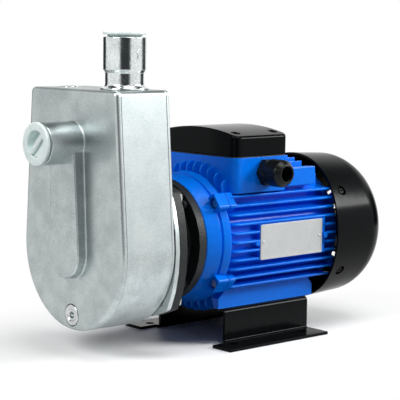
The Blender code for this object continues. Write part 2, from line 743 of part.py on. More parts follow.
def flange_outline():
    """Return the rounded square that the casing's back plate and the bracket share."""
    sides = []
    corner = Vector((FLANGE_CORNER_X, FLANGE_CORNER_Z))
    for half, reach, quarter in ((FLANGE_HALF_WIDTH - corner.x, corner.y, 0),
                                 (FLANGE_HALF_HEIGHT - corner.y, corner.x, 1)):
        radius = (half * half + reach * reach) / (2 * half)
        swing = math.asin(reach / radius)
        apex = (FLANGE_HALF_WIDTH, FLANGE_HALF_HEIGHT)[quarter]
        middle = quarter * math.pi / 2
        cx = (apex - radius) * math.cos(middle)
        cz = (apex - radius) * math.sin(middle)
        side = arc(cx, cz, radius, middle - swing, middle + swing, 6)
        sides.append(side)
    loop = []
    for sign in (1, -1):
        for side in sides:
            for i, (x, z) in enumerate(side[:-1]):
                loop.append((sign * x, sign * z, FLANGE_CORNER_R if i == 0 else 0))
    return rounded(loop)


def circle(radius, cx=0.0, cy=0.0, steps=ROUND):
    """Return a circle as an outline."""
    return arc(cx, cy, radius, 0, 2 * math.pi, steps)[:-1]


def polar(radius, degrees):
    """Return (x, z) at a radius and an angle from the right-hand side."""
    a = math.radians(degrees)
    return radius * math.cos(a), radius * math.sin(a)


CORNER_SIGNS = ((1, 1), (-1, 1), (-1, -1), (1, -1))


# Casing with its suction channel and nozzle

def make_casing():
    """Build the closed casing, with a round opening at the back for the seal plate."""
    casing = plate("pump_casing", [casing_outline(0)], 0, CASING_DEPTH)
    round_edges(casing, lambda a, b: close_to(a.y, 0) and close_to(b.y, 0), CASING_EDGE_R, 2)

    channel = plate("channel_form", [channel_outline(0)], -2 * CHANNEL_TOP_RISE, 1 * MM)
    slope_channel_top(channel)
    nozzle = rod("nozzle_form", SUCTION_NOZZLE_R, 0, SUCTION_NOZZLE_LENGTH, '-Y',
                 (0, 0, SUCTION_Z), MEDIUM)
    chamber = plate("chamber_space", [casing_outline(CASING_WALL)], CASING_WALL,
                    CASING_DEPTH - CASING_WALL)
    opening = rod("rear_opening", REAR_OPENING_R, CASING_DEPTH - 2 * CASING_WALL,
                  CASING_DEPTH + CASING_WALL, steps=ROUND)
    join(casing, channel, nozzle)
    cut(casing, chamber, opening)

    top = SUCTION_Z + VALVE_CHAMBER_TOP
    shelf = SUCTION_Z - VALVE_CHAMBER_BELOW
    duct_bottom = CHANNEL_BOTTOM_Z - DUCT_HALF_WIDTH
    into_wall = CASING_WALL / 2
    valve_box = block("valve_chamber_form", (-DUCT_HALF_WIDTH, into_wall, shelf),
                      (DUCT_HALF_WIDTH, VALVE_CHAMBER_DEPTH, top))
    duct = block("duct_form", (-DUCT_HALF_WIDTH, into_wall, duct_bottom),
                 (DUCT_HALF_WIDTH, DUCT_DEPTH, shelf + DUCT_WALL))
    drain_boss = rod("drain_boss_form", PLUG_BOSS_R, into_wall, PLUG_BOSS_DEPTH, 'Y',
                     (0, 0, DRAIN_Z))
    priming_boss = rod("priming_boss_form", PLUG_BOSS_R, CASING_TOP_Z - PLUG_BOSS_DEPTH,
                       CASING_TOP_Z - into_wall, 'Z', (PRIMING_X, DISCHARGE_Y, 0))
    boss_limit = plate("boss_limit", [casing_outline(into_wall)], 0, CASING_DEPTH)
    combine(drain_boss, boss_limit, 'INTERSECT')
    join(casing, valve_box, duct, drain_boss, priming_boss)

    inner = DUCT_HALF_WIDTH - DUCT_WALL
    valve_space = block("valve_chamber_space", (-inner, CASING_WALL, shelf + DUCT_WALL),
                        (inner, VALVE_CHAMBER_DEPTH - DUCT_WALL, top - DUCT_WALL))
    duct_space = block("duct_space", (-inner, CASING_WALL, duct_bottom + DUCT_WALL),
                       (inner, DUCT_DEPTH - DUCT_WALL, shelf + 3 * DUCT_WALL))
    slot_form = channel_outline(CHANNEL_WALL + CHANNEL_SLOT_INSET, shelf - CHANNEL_SLOT_DROP)
    slot = plate("channel_space", [slot_form], CHANNEL_WALL - CHANNEL_BOTTOM_RISE,
                 CASING_WALL + 1 * MM)
    bore = rod("suction_bore", PORT_BORE_R, -CASING_WALL - 1 * MM,
               SUCTION_NOZZLE_LENGTH + 1 * MM, '-Y', (0, 0, SUCTION_Z))
    eye = rod("duct_eye", VOLUTE_EYE_R + VOLUTE_WALL + GAP, DUCT_DEPTH - 2 * DUCT_WALL,
              DUCT_DEPTH + 2 * DUCT_WALL)
    cut(casing, valve_space, duct_space, slot, bore, eye)

    outlet = rod("discharge_opening", PORT_BORE_R, CASING_TOP_Z - 3 * CASING_WALL,
                 CASING_TOP_Z + CASING_WALL, 'Z', (DISCHARGE_X, DISCHARGE_Y, 0))
    cut(casing, outlet)
    cut_plug_seat(casing, "drain", '-Y', (0, 0, DRAIN_Z))
    cut_plug_seat(casing, "priming", 'Z', (PRIMING_X, DISCHARGE_Y, CASING_TOP_Z))
    keep(casing)
    paint(casing, STAINLESS_SATIN, 0.34, 1.0)


def slope_channel_top(channel):
    """Cut the channel's front to its sloping face and round the rim."""
    bm = bmesh.new()
    bm.from_mesh(channel.data)
    lowest = CHANNEL_BOTTOM_Z - CHANNEL_BOTTOM_R
    run = SUCTION_Z - lowest
    rise = CHANNEL_TOP_RISE - CHANNEL_BOTTOM_RISE
    normal = Vector((0, -run, -rise)).normalized()
    everything = bm.verts[:] + bm.edges[:] + bm.faces[:]
    bmesh.ops.bisect_plane(bm, geom=everything, plane_co=(0, -CHANNEL_BOTTOM_RISE, lowest),
                           plane_no=normal, clear_outer=True)
    rim = [e for e in bm.edges if e.is_boundary]
    bmesh.ops.holes_fill(bm, edges=rim, sides=0)
    front = [e for e in bm.edges if max(v.co.y for v in e.verts) < -CHANNEL_BOTTOM_RISE + 0.00001]
    bmesh.ops.bevel(bm, geom=front, offset=CHANNEL_EDGE_R, offset_type='OFFSET', segments=2,
                    profile=0.5, affect='EDGES', clamp_overlap=True)
    bmesh.ops.recalc_face_normals(bm, faces=bm.faces)
    bm.to_mesh(channel.data)
    bm.free()


def cut_plug_seat(casing, name, axis, at):
    """Cut the counterbore and the threaded hole for a socket plug."""
    seat = rod(name + "_seat", SOCKET_PLUG_R + GAP,
               SOCKET_PLUG_PROUD - SOCKET_PLUG_HEAD - GAP, CASING_WALL, axis, at)
    hole = rod(name + "_hole", SOCKET_PLUG_THREAD_R + GAP,
               -PLUG_BOSS_DEPTH - CASING_WALL, 0, axis, at)
    cut(casing, seat, hole)


def make_socket_plug(name, axis, at):
    """Build a threaded plug with a hexagon socket; at is on the casing's face."""
    top = SOCKET_PLUG_PROUD
    under = top - SOCKET_PLUG_HEAD
    chamfer = 0.8 * MM
    profile = [(0, top), (SOCKET_PLUG_R - chamfer, top), (SOCKET_PLUG_R, top - chamfer),
               (SOCKET_PLUG_R, under), (SOCKET_PLUG_THREAD_R, under),
               (SOCKET_PLUG_THREAD_R, top - SOCKET_PLUG_LENGTH),
               (0, top - SOCKET_PLUG_LENGTH)]
    marker = joint_marker(name + "_axis", at)
    plug = turned(name, profile, axis, at, MEDIUM, ring=False)
    key = rod(name + "_key", SOCKET_PLUG_KEY_R, top - SOCKET_PLUG_LENGTH / 2, top + 1 * MM,
              axis, at, 6)
    cut(plug, key)
    keep(plug, marker)
    paint(plug, STAINLESS_BRIGHT, 0.25, 1.0)


def make_transit_plug(name, axis, at):
    """Build a plastic plug for a port; at is the centre of the nozzle's end face."""
    collar_top = GAP + TRANSIT_COLLAR
    top = collar_top + TRANSIT_FLANGE_THICKNESS
    shank_r = PORT_BORE_R - GAP
    collar_r = (shank_r + TRANSIT_FLANGE_R) / 2
    floor = top - TRANSIT_RECESS_DEPTH
    chamfer = 0.8 * MM
    profile = [(0, floor), (TRANSIT_RECESS_R - chamfer, floor), (TRANSIT_RECESS_R, top),
               (TRANSIT_FLANGE_R - chamfer, top), (TRANSIT_FLANGE_R, top - chamfer),
               (TRANSIT_FLANGE_R, collar_top), (collar_r, collar_top), (collar_r, GAP),
               (shank_r, GAP), (shank_r, -TRANSIT_SHANK_LENGTH),
               (0, -TRANSIT_SHANK_LENGTH)]
    marker = joint_marker(name + "_axis", at)
    plug = turned(name, profile, axis, at, 24, ring=False)
    half = TRANSIT_BAR / 2
    reach = TRANSIT_RECESS_R + 0.5 * MM
    bar = block(name + "_bar", (-reach, -half, floor - 1 * MM), (reach, half, top - chamfer))
    turn = Matrix.Rotation(math.radians(45), 4, 'Z')
    bar.data.transform(turn @ Matrix.Translation(bar.location))
    bar.location = at
    bar.rotation_euler = TURN_AXIS[axis]
    join(plug, bar)
    keep(plug, marker)
    paint(plug, NATURAL_WHITE, 0.35, 0.0)


def make_discharge_nozzle():
    """Build the nozzle that stands on the casing's top plate."""
    base = CASING_TOP_Z + GAP
    top = base + DISCHARGE_HEIGHT
    step = top - DISCHARGE_SOCKET_DEPTH
    chamfer = 1.0 * MM
    flare = [(DISCHARGE_NECK_R + DISCHARGE_FLARE * (1 - math.sin(a)),
              base + 1 * MM + DISCHARGE_FLARE * (1 - math.cos(a)))
             for a in (math.radians(d) for d in (0, 30, 60, 90))]
    taper = (DISCHARGE_SOCKET_R - DISCHARGE_NECK_R) * 1.6
    profile = [(PORT_BORE_R, base), (DISCHARGE_NECK_R + DISCHARGE_FLARE, base)] + flare
    profile += [(DISCHARGE_NECK_R, step - taper), (DISCHARGE_SOCKET_R, step),
                (DISCHARGE_SOCKET_R, top - chamfer), (DISCHARGE_SOCKET_R - chamfer, top),
                (PORT_BORE_R, top)]
    nozzle = turned("discharge_nozzle", profile, 'Z', (DISCHARGE_X, DISCHARGE_Y, 0), 24)
    keep(nozzle)
    paint(nozzle, STAINLESS_BRIGHT, 0.3, 1.0)


def make_check_flap():
    """Build the rubber flap that hangs from a pin behind the suction bore."""
    pin_y = CASING_WALL + GAP + FLAP_THICKNESS / 2
    pin_z = SUCTION_Z + FLAP_R + FLAP_PIN_ABOVE_EDGE
    marker = joint_marker("check_flap_pin", (0, pin_y, pin_z))
    front = CASING_WALL + GAP
    disc = circle(FLAP_R, 0, SUCTION_Z, MEDIUM)
    flap = plate("check_flap", [disc], front, front + FLAP_THICKNESS)
    half_tab = FLAP_R / 2
    tab = block("flap_tab", (-half_tab, front, SUCTION_Z), (half_tab, front + FLAP_THICKNESS, pin_z))
    half_pin = DUCT_HALF_WIDTH - DUCT_WALL - GAP
    pin = rod("flap_pin", FLAP_PIN_R, -half_pin, half_pin, 'X', (0, pin_y, pin_z), SMALL)
    join(flap, tab, pin)
    keep(flap, marker)
    paint(flap, RUBBER_BLACK, 0.7)


def make_back_plate():
    """Build the flange plate that closes the casing behind."""
    holes = [circle(CASING_BOLT_R + GAP, sx * CASING_BOLT_X, sz * CASING_BOLT_Z, SMALL)
             for sx, sz in CORNER_SIGNS]
    opening = circle(COVER_OPENING_R)
    back = plate("casing_back_plate", [flange_outline(), opening] + holes,
                 CASING_DEPTH + GAP, BACK_PLATE_END_Y)
    keep(back)
    paint(back, STAINLESS_SATIN, 0.4, 1.0)


def make_seal_plate():
    """Build the disc behind the impeller with the seal's seat pocket and O-ring groove."""
    start = SEAL_PLATE_START_Y
    end = BACK_PLATE_END_Y
    boss_end = end + SEAL_BOSS_LENGTH
    rim = COVER_OPENING_R - GAP
    groove = 2 * O_RING_WIRE_R + 2 * GAP
    middle = (start + end) / 2
    pocket = SEAL_SEAT_START_Y + SEAL_SEAT_THICKNESS + GAP
    profile = [(SEAL_SEAT_R + GAP, start), (rim, start), (rim, middle - groove / 2),
               (rim - groove, middle - groove / 2), (rim - groove, middle + groove / 2),
               (rim, middle + groove / 2), (rim, end), (SEAL_BOSS_R, end),
               (SEAL_BOSS_R, boss_end), (SEAL_LIP_R, boss_end), (SEAL_LIP_R, pocket),
               (SEAL_SEAT_R + GAP, pocket)]
    disc = turned("seal_plate", profile, steps=24)
    keep(disc)
    paint(disc, STAINLESS_SATIN, 0.35, 1.0)

    ring_r = rim - groove + GAP + O_RING_WIRE_R
    section = circle(O_RING_WIRE_R, ring_r, middle, 6)
    ring = turned("casing_o_ring", section, steps=24)
    keep(ring)
    paint(ring, RUBBER_BLACK, 0.6)


def volute_wall_points(offset):
    """Return the spiral from the cutwater round to the right-hand side, then the throat."""
    start = math.radians(24)
    points = []
    steps = 22
    for i in range(steps + 1):
        share = i / steps
        a = start + (2 * math.pi - start) * share
        r = VOLUTE_START_R + (VOLUTE_END_R - VOLUTE_START_R) * share + offset
        points.append((r * math.cos(a), r * math.sin(a)))
    return points


def make_volute():
    """Build the spiral chamber round the impeller, open at the back and at its throat."""
    inner = volute_wall_points(0)
    outer = volute_wall_points(VOLUTE_WALL)
    throat_x = VOLUTE_END_R - VOLUTE_THROAT
    foot_z = inner[0][1]
    cutwater = [(throat_x, VOLUTE_TOP_Z), (throat_x - VOLUTE_WALL, VOLUTE_TOP_Z),
                (throat_x - VOLUTE_WALL, foot_z + 3 * VOLUTE_WALL)]
    wall = outer[1:] + [(VOLUTE_END_R + VOLUTE_WALL, VOLUTE_TOP_Z), (VOLUTE_END_R, VOLUTE_TOP_Z)]
    wall += list(reversed(inner[1:])) + [(throat_x, foot_z)] + cutwater
    volute = plate("volute", [wall], VOLUTE_START_Y, VOLUTE_END_Y)
    half = VOLUTE_WALL / 2
    low_z = VOLUTE_TOP_Z - half
    face = volute_wall_points(half)[1:]
    face += [(VOLUTE_END_R + half, low_z), (throat_x - half, low_z),
             (throat_x - half, foot_z + 3 * VOLUTE_WALL)]
    disc = plate("volute_face", [face, circle(VOLUTE_EYE_R + half, steps=MEDIUM)],
                 VOLUTE_START_Y + GAP, VOLUTE_START_Y + VOLUTE_WALL)
    neck = tube("volute_neck", VOLUTE_EYE_R, VOLUTE_EYE_R + VOLUTE_WALL,
                VOLUTE_START_Y - 2 * MM, VOLUTE_START_Y + VOLUTE_WALL - GAP, steps=MEDIUM)
    join(volute, disc, neck)
    keep(volute)
    paint(volute, STAINLESS_SATIN, 0.4, 1.0)


# Everything that turns with the shaft

def make_impeller():
    """Build the closed impeller: two shrouds, a hub and backward-curved vanes."""
    start = IMPELLER_START_Y
    back = IMPELLER_BACK_Y
    end = back + IMPELLER_SHROUD
    bore = SHAFT_IMPELLER_R + GAP
    hub = [(bore, start + 2 * MM), (IMPELLER_HUB_R - 3 * MM, start + 2 * MM),
           (IMPELLER_HUB_R, back - 2 * MM), (IMPELLER_HUB_R + 3 * MM, back),
           (IMPELLER_R, back), (IMPELLER_R, end), (IMPELLER_HUB_R + 2 * MM, end),
           (IMPELLER_HUB_R + 2 * MM, IMPELLER_HUB_END_Y), (bore, IMPELLER_HUB_END_Y)]
    impeller = turned("impeller", hub, steps=INNER)
    shroud_end = start + IMPELLER_SHROUD
    neck_r = VOLUTE_EYE_R - 0.5 * MM
    front = [(IMPELLER_EYE_R, start - 3 * MM), (neck_r, start - 3 * MM), (neck_r, start),
             (IMPELLER_R, start), (IMPELLER_R, shroud_end),
             (IMPELLER_EYE_R, shroud_end)]
    shroud = turned("impeller_front_shroud", front, steps=INNER)
    vanes = plate("impeller_vanes", [vane_outline(i) for i in range(IMPELLER_VANES)],
                  shroud_end - 0.5 * MM, back + 0.5 * MM)
    join(impeller, vanes, shroud)
    keep(impeller)
    paint(impeller, STAINLESS_SATIN, 0.35, 1.0)


def vane_outline(index):
    """Return one vane as a thin strip that sweeps back from the eye to the rim."""
    first = 2 * math.pi * index / IMPELLER_VANES
    sweep = math.radians(70)
    half = IMPELLER_VANE / 2
    steps = 4
    middle = []
    for i in range(steps + 1):
        share = i / steps
        r = IMPELLER_EYE_R + 1 * MM + (IMPELLER_R - IMPELLER_EYE_R - 2 * MM) * share
        a = first - sweep * share
        middle.append(Vector((r * math.cos(a), r * math.sin(a))))
    left, right = [], []
    for i, point in enumerate(middle):
        ahead = middle[min(i + 1, steps)] - middle[max(i - 1, 0)]
        side = Vector((-ahead.y, ahead.x)).normalized() * half
        left.append(tuple(point + side))
        right.append(tuple(point - side))
    return left + right[::-1]


def make_shaft():
    """Build the stepped shaft from the impeller's thread to the fan seat."""
    hub_start = IMPELLER_START_Y + 2 * MM
    nut_start = hub_start - GAP - IMPELLER_NUT_LENGTH + 1.5 * MM
    front_bearing = FRONT_BEARING_Y
    rear_bearing = REAR_BEARING_Y
    rotor_end = STATOR_START_Y + STATOR_LENGTH + ROTOR_RING_LENGTH
    fan_end = FAN_START_Y + FAN_LENGTH
    steps = [(SHAFT_NUT_R, nut_start, hub_start), (SHAFT_IMPELLER_R, hub_start, IMPELLER_HUB_END_Y),
             (SHAFT_SEAL_R, IMPELLER_HUB_END_Y, BRACKET_START_Y + 12 * MM),
             (SHAFT_BEARING_R - 0.5 * MM, BRACKET_START_Y + 12 * MM, front_bearing),
             (SHAFT_BEARING_R, front_bearing, front_bearing + BEARING_WIDTH + GAP),
             (SHAFT_ROTOR_R, front_bearing + BEARING_WIDTH + 2 * GAP, rotor_end),
             (SHAFT_ROTOR_R - 1 * MM, rotor_end, rear_bearing - GAP),
             (SHAFT_BEARING_R, rear_bearing - GAP, rear_bearing + BEARING_WIDTH + GAP),
             (SHAFT_FAN_R, rear_bearing + BEARING_WIDTH + GAP, fan_end)]
    profile = [(0, steps[0][1])]
    for radius, low, high in steps:
        profile += [(radius, low), (radius, high)]
    profile.append((0, steps[-1][2]))
    shaft = turned("shaft", profile, steps=INNER, ring=False)
    keep(shaft)
    paint(shaft, IRON_GREY, 0.3, 1.0)


def make_impeller_nut():
    """Build the cap nut that holds the impeller, with a blind hole for the thread."""
    end = IMPELLER_START_Y + 2 * MM - GAP
    start = end - IMPELLER_NUT_LENGTH
    nut = rod("impeller_nut", IMPELLER_NUT_R, start, end, steps=6)
    hole = rod("impeller_nut_hole", SHAFT_NUT_R + GAP, start + 1 * MM, end + 1 * MM, steps=INNER)
    cut(nut, hole)
    keep(nut)
    paint(nut, STAINLESS_BRIGHT, 0.25, 1.0)


def make_seal():
    """Build the mechanical seal: turning head, its spring and the fixed seat."""
    bore = SHAFT_SEAL_R + GAP
    head = tube("seal_head", bore, SEAL_HEAD_R, SEAL_HEAD_START_Y,
                SEAL_HEAD_START_Y + SEAL_HEAD_LENGTH, steps=INNER)
    keep(head)
    paint(head, RUBBER_BLACK, 0.55)
    seat = tube("seal_seat", bore + 0.7 * MM, SEAL_SEAT_R, SEAL_SEAT_START_Y,
                SEAL_SEAT_START_Y + SEAL_SEAT_THICKNESS, steps=INNER)
    keep(seat)
    paint(seat, (236, 232, 224), 0.2)
    make_seal_spring()


def make_seal_spring():
    """Build the coil spring between the impeller's hub and the seal head."""
    low = IMPELLER_HUB_END_Y + GAP + SPRING_WIRE_R
    high = SEAL_HEAD_START_Y - GAP - SPRING_WIRE_R
    curve = bpy.data.curves.new("seal_spring", 'CURVE')
    curve.dimensions = '3D'
    curve.bevel_depth = SPRING_WIRE_R
    curve.bevel_resolution = 0
    curve.use_fill_caps = True
    spline = curve.splines.new('POLY')
    count = int(10 * SPRING_TURNS)
    spline.points.add(count)
    for i, point in enumerate(spline.points):
        share = i / count
        a = 2 * math.pi * SPRING_TURNS * share
        point.co = (SPRING_R * math.cos(a), low + (high - low) * share, SPRING_R * math.sin(a), 1)
    source = bpy.data.objects.new("seal_spring", curve)
    CUTTERS.objects.link(source)
    mesh = evaluated_mesh(source, "seal_spring")
    bpy.data.objects.remove(source, do_unlink=True)
    bm = bmesh.new()
    bm.from_mesh(mesh)
    bmesh.ops.remove_doubles(bm, verts=bm.verts, dist=0.00001)
    bmesh.ops.recalc_face_normals(bm, faces=bm.faces)
    bm.to_mesh(mesh)
    bm.free()
    spring = new_object("seal_spring", mesh)
    keep(spring)
    paint(spring, STAINLESS_BRIGHT, 0.25, 1.0)


def make_slinger():
    """Build the rubber ring that throws off drips in front of the motor bearing."""
    bore = SHAFT_BEARING_R - 0.5 * MM + GAP
    middle = (BRACKET_FLANGE_END_Y + BRACKET_END_Y) / 2
    wall = SLINGER_WALL
    profile = [(bore, middle - wall), (bore + wall, middle - wall),
               (bore + wall, middle + wall * 0.25), (SLINGER_R, middle + wall * 0.75),
               (SLINGER_R, middle + wall * 1.25), (bore, middle + wall * 0.875)]
    slinger = turned("slinger", profile, steps=INNER)
    keep(slinger)
    paint(slinger, RUBBER_BLACK, 0.65)


def make_bearing(name, start):
    """Build a ball bearing: fixed outer ring, and inner ring with its balls."""
    end = start + BEARING_WIDTH
    outer_bore = BEARING_OUTER_R - BEARING_RING
    inner_rim = SHAFT_BEARING_R + GAP + BEARING_RING
    pitch_r = (outer_bore + inner_rim) / 2
    ball_r = (outer_bore - inner_rim) / 2 + BALL_BITE
    middle = (start + end) / 2
    track = ball_r + TRACK_CLEARANCE
    reach = math.sqrt(track * track - (outer_bore - pitch_r) ** 2)
    swing = math.acos((outer_bore - pitch_r) / track)
    groove = [(pitch_r + track * math.cos(a), middle + track * math.sin(a))
              for a in (swing, 0, -swing)]
    ring = [(outer_bore, end), (outer_bore, middle + reach)] + groove[1:-1]
    ring += [(outer_bore, middle - reach), (outer_bore, start), (BEARING_OUTER_R, start),
             (BEARING_OUTER_R, end)]
    outer = turned(name + "_outer", ring, steps=INNER)
    keep(outer)
    paint(outer, ZINC, 0.2, 1.0)
    inner = tube(name + "_inner", SHAFT_BEARING_R + GAP, inner_rim, start, end, steps=INNER)
    mesh = bpy.data.meshes.new(name + "_balls")
    bm = bmesh.new()
    for i in range(BEARING_BALLS):
        turn = Matrix.Rotation(2 * math.pi * i / BEARING_BALLS, 4, 'Y')
        place = turn @ Matrix.Translation((pitch_r, middle, 0))
        bmesh.ops.create_uvsphere(bm, u_segments=6, v_segments=4, radius=ball_r, matrix=place)
    bm.to_mesh(mesh)
    bm.free()
    join(inner, new_object(name + "_balls", mesh))
    keep(inner)
    paint(inner, ZINC, 0.2, 1.0)


def make_rotor():
    """Build the squirrel-cage rotor with its end rings and small cooling blades."""
    core_r = STATOR_BORE_R - AIR_GAP
    start = STATOR_START_Y
    end = start + STATOR_LENGTH
    bore = SHAFT_ROTOR_R + GAP
    ring_r = core_r - 2 * MM
    ring_in = core_r - 11 * MM
    profile = [(bore, start), (ring_in, start), (ring_in, start - ROTOR_RING_LENGTH),
               (ring_r, start - ROTOR_RING_LENGTH), (ring_r, start), (core_r, start),
               (core_r, end), (ring_r, end), (ring_r, end + ROTOR_RING_LENGTH),
               (ring_in, end + ROTOR_RING_LENGTH), (ring_in, end), (bore, end)]
    rotor = turned("rotor", profile, steps=INNER)
    keep(rotor)
    paint(rotor, IRON_GREY, 0.45, 1.0)


def make_fan():
    """Build the cooling fan: hub, disc and straight radial blades."""
    start = FAN_START_Y
    end = start + FAN_LENGTH
    bore = SHAFT_FAN_R + GAP
    disc_r = FAN_R * 0.62
    hub = [(bore, start), (disc_r, start), (disc_r, start + FAN_BLADE),
           (FAN_HUB_R, start + FAN_BLADE), (FAN_HUB_R, end), (bore, end)]
    fan = turned("fan", hub, steps=INNER)
    mesh = bpy.data.meshes.new("fan_blades")
    bm = bmesh.new()
    for i in range(FAN_BLADES):
        made = bmesh.ops.create_cube(bm, size=1.0)["verts"]
        inner = FAN_HUB_R - 2 * MM
        length = FAN_R - inner
        bmesh.ops.scale(bm, vec=(length, FAN_LENGTH - 2 * MM, FAN_BLADE), verts=made)
        bmesh.ops.translate(bm, vec=(inner + length / 2, start + FAN_LENGTH / 2, 0), verts=made)
        turn = Matrix.Rotation(2 * math.pi * (i + 0.5) / FAN_BLADES, 3, 'Y')
        bmesh.ops.rotate(bm, cent=(0, 0, 0), matrix=turn, verts=made)
    bm.to_mesh(mesh)
    bm.free()
    join(fan, new_object("fan_blades", mesh))
    keep(fan)
    paint(fan, RUBBER_BLACK, 0.5)


# Bracket and motor housing

def make_bracket():
    """Build the cast lantern bracket with its windows and the screws to the motor."""
    flange_bore = circle(BRACKET_BORE_R, steps=MEDIUM)
    holes = [circle(CASING_BOLT_R + GAP, sx * CASING_BOLT_X, sz * CASING_BOLT_Z, SMALL)
             for sx, sz in CORNER_SIGNS]
    bracket = plate("bracket", [flange_outline(), flange_bore] + holes, BRACKET_START_Y,
                    BRACKET_FLANGE_END_Y)
    ring_start = BRACKET_END_Y - BRACKET_RING_THICKNESS
    neck_start = BRACKET_FLANGE_END_Y - 2 * MM
    inner = BRACKET_NECK_R - BRACKET_WALL
    profile = [(inner, neck_start), (BRACKET_NECK_R + 3 * MM, neck_start),
               (BRACKET_NECK_R, BRACKET_FLANGE_END_Y + 3 * MM), (BRACKET_NECK_R, ring_start),
               (BRACKET_RING_R, ring_start), (BRACKET_RING_R, BRACKET_END_Y),
               (inner, BRACKET_END_Y)]
    neck = turned("bracket_neck", profile, steps=28)
    join(bracket, neck)
    window_start = BRACKET_FLANGE_END_Y + 4 * MM
    window_end = ring_start - 2 * MM
    for i, middle in enumerate((0, 90, 180, 270)):
        half = math.radians(BRACKET_WINDOW_HALF_ANGLE)
        centre = math.radians(middle)
        sector = arc(0, 0, inner - 8 * MM, centre - half, centre + half, 2)
        sector += arc(0, 0, BRACKET_NECK_R + 8 * MM, centre + half, centre - half, 2)
        cut(bracket, plate("bracket_window_%d" % (i + 1), [sector], window_start, window_end))
    for i, angle in enumerate((45, 135, 225, 315)):
        x, z = polar(BRACKET_SCREW_PITCH_R, angle)
        head = rod("bracket_screw_%d" % (i + 1), BRACKET_SCREW_R, ring_start - BRACKET_SCREW_HEAD,
                   ring_start + 1 * MM, 'Y', (x, 0, z), 6)
        join(bracket, head)
    keep(bracket)
    paint(bracket, CAST_BLACK, 0.6, 0.3)


def lug_angles():
    """Return the four angles of the lugs that the end shield bolts pass through."""
    return (LUG_ANGLE, 180 - LUG_ANGLE, 180 + LUG_ANGLE, 360 - LUG_ANGLE)


def lug_block(name, angle, start, end):
    """Return one lug, a block that stands out from the shield or frame."""
    root = SHIELD_FRONT_R - 5 * MM
    lug = block(name, (root, start, -LUG_HALF_WIDTH), (LUG_OUTER_R, end, LUG_HALF_WIDTH))
    middle = (start + end) / 2
    round_edges(lug, lambda a, b: a.x > 0 and b.x > 0 and close_to(a.z, b.z),
                LUG_CORNER_R, 2)
    place = Matrix.Rotation(-math.radians(angle), 4, 'Y') @ Matrix.Translation(
        ((root + LUG_OUTER_R) / 2, 0, 0))
    lug.data.transform(place)
    lug.location = (0, middle, 0)
    return lug


def make_front_shield():
    """Build the blue front end shield with its rim groove, lugs and bearing housing."""
    housing = BEARING_OUTER_R + GAP + HOUSING_WALL
    inner = FRAME_BORE_R - GAP - SHIELD_WALL / 2
    wall_end = SHIELD_START_Y + SHIELD_WALL
    groove = 1.4 * MM
    spigot_end = FRAME_START_Y + 3.5 * MM
    seat = FRONT_BEARING_Y - GAP
    seat_end = FRONT_BEARING_Y + BEARING_WIDTH
    profile = [(SHAFT_HOLE_R, SHIELD_START_Y), (SHIELD_FRONT_R, SHIELD_START_Y),
               (SHIELD_GROOVE_R, SHIELD_GROOVE_Y - groove / 2),
               (SHIELD_GROOVE_R - groove, SHIELD_GROOVE_Y),
               (SHIELD_GROOVE_R - groove, SHIELD_GROOVE_Y + groove),
               (SHIELD_GROOVE_R + 0.4 * MM, SHIELD_GROOVE_Y + 1.6 * groove),
               (SHIELD_RIM_R, SHIELD_END_Y - 1 * MM), (SHIELD_RIM_R - 0.6 * MM, SHIELD_END_Y),
               (FRAME_BORE_R - GAP, SHIELD_END_Y), (FRAME_BORE_R - GAP, spigot_end),
               (inner, spigot_end), (inner, wall_end), (housing, wall_end),
               (housing, seat_end), (BEARING_OUTER_R + GAP, seat_end),
               (BEARING_OUTER_R + GAP, seat), (SHAFT_HOLE_R, seat)]
    shield = turned("end_shield_front", profile, steps=28)
    for i, angle in enumerate(lug_angles()):
        x, z = polar(LUG_BOLT_R, angle)
        lug = lug_block("shield_lug_%d" % (i + 1), angle, LUG_FRONT_Y, SHIELD_END_Y - LUG_SETBACK)
        pocket = rod("lug_pocket_%d" % (i + 1), LUG_POCKET_R, LUG_FRONT_Y - 12 * MM,
                     LUG_FRONT_Y + LUG_POCKET_DEPTH, 'Y', (x, 0, z), 10)
        hole = rod("lug_hole_%d" % (i + 1), LUG_SCREW_R + GAP, LUG_FRONT_Y, SHIELD_END_Y + 5 * MM,
                   'Y', (x, 0, z), SMALL)
        join(shield, lug)
        cut(shield, pocket, hole)
    keep(shield)
    paint(shield, MOTOR_BLUE, 0.3)


def fin_blade(bm, root, tip_end, start, end, along_x):
    """Add one tapered fin to a bmesh; along_x is its direction, given as a unit vector.

    root and tip_end are distances from the shaft axis plane, and the fin lies between
    two Y planes. Returns its vertices, centred on its own thickness.
    """
    height = tip_end - root
    corner = min(FIN_CORNER_R, height / 2)
    outline = rounded([(root, start, 0), (tip_end, start, corner), (tip_end, end, 0),
                       (root, end, 0)], 2)
    face = bm.faces.new([bm.verts.new((x, y, 0)) for x, y in outline])
    grown = bmesh.ops.extrude_face_region(bm, geom=[face], use_keep_orig=True)["geom"]
    other_side = [item for item in grown if isinstance(item, bmesh.types.BMVert)]
    for verts, side in ((list(face.verts), -0.5), (other_side, 0.5)):
        for vert in verts:
            share = (vert.co.x - root) / height
            vert.co.z = side * (FIN_ROOT + (FIN_TIP - FIN_ROOT) * share)
    made = list(face.verts) + other_side
    bmesh.ops.recalc_face_normals(bm, faces=list({f for v in made for f in v.link_faces}))
    angle = math.atan2(along_x[1], along_x[0])
    bmesh.ops.rotate(bm, cent=(0, 0, 0), matrix=Matrix.Rotation(-angle, 3, 'Y'), verts=made)
    return made


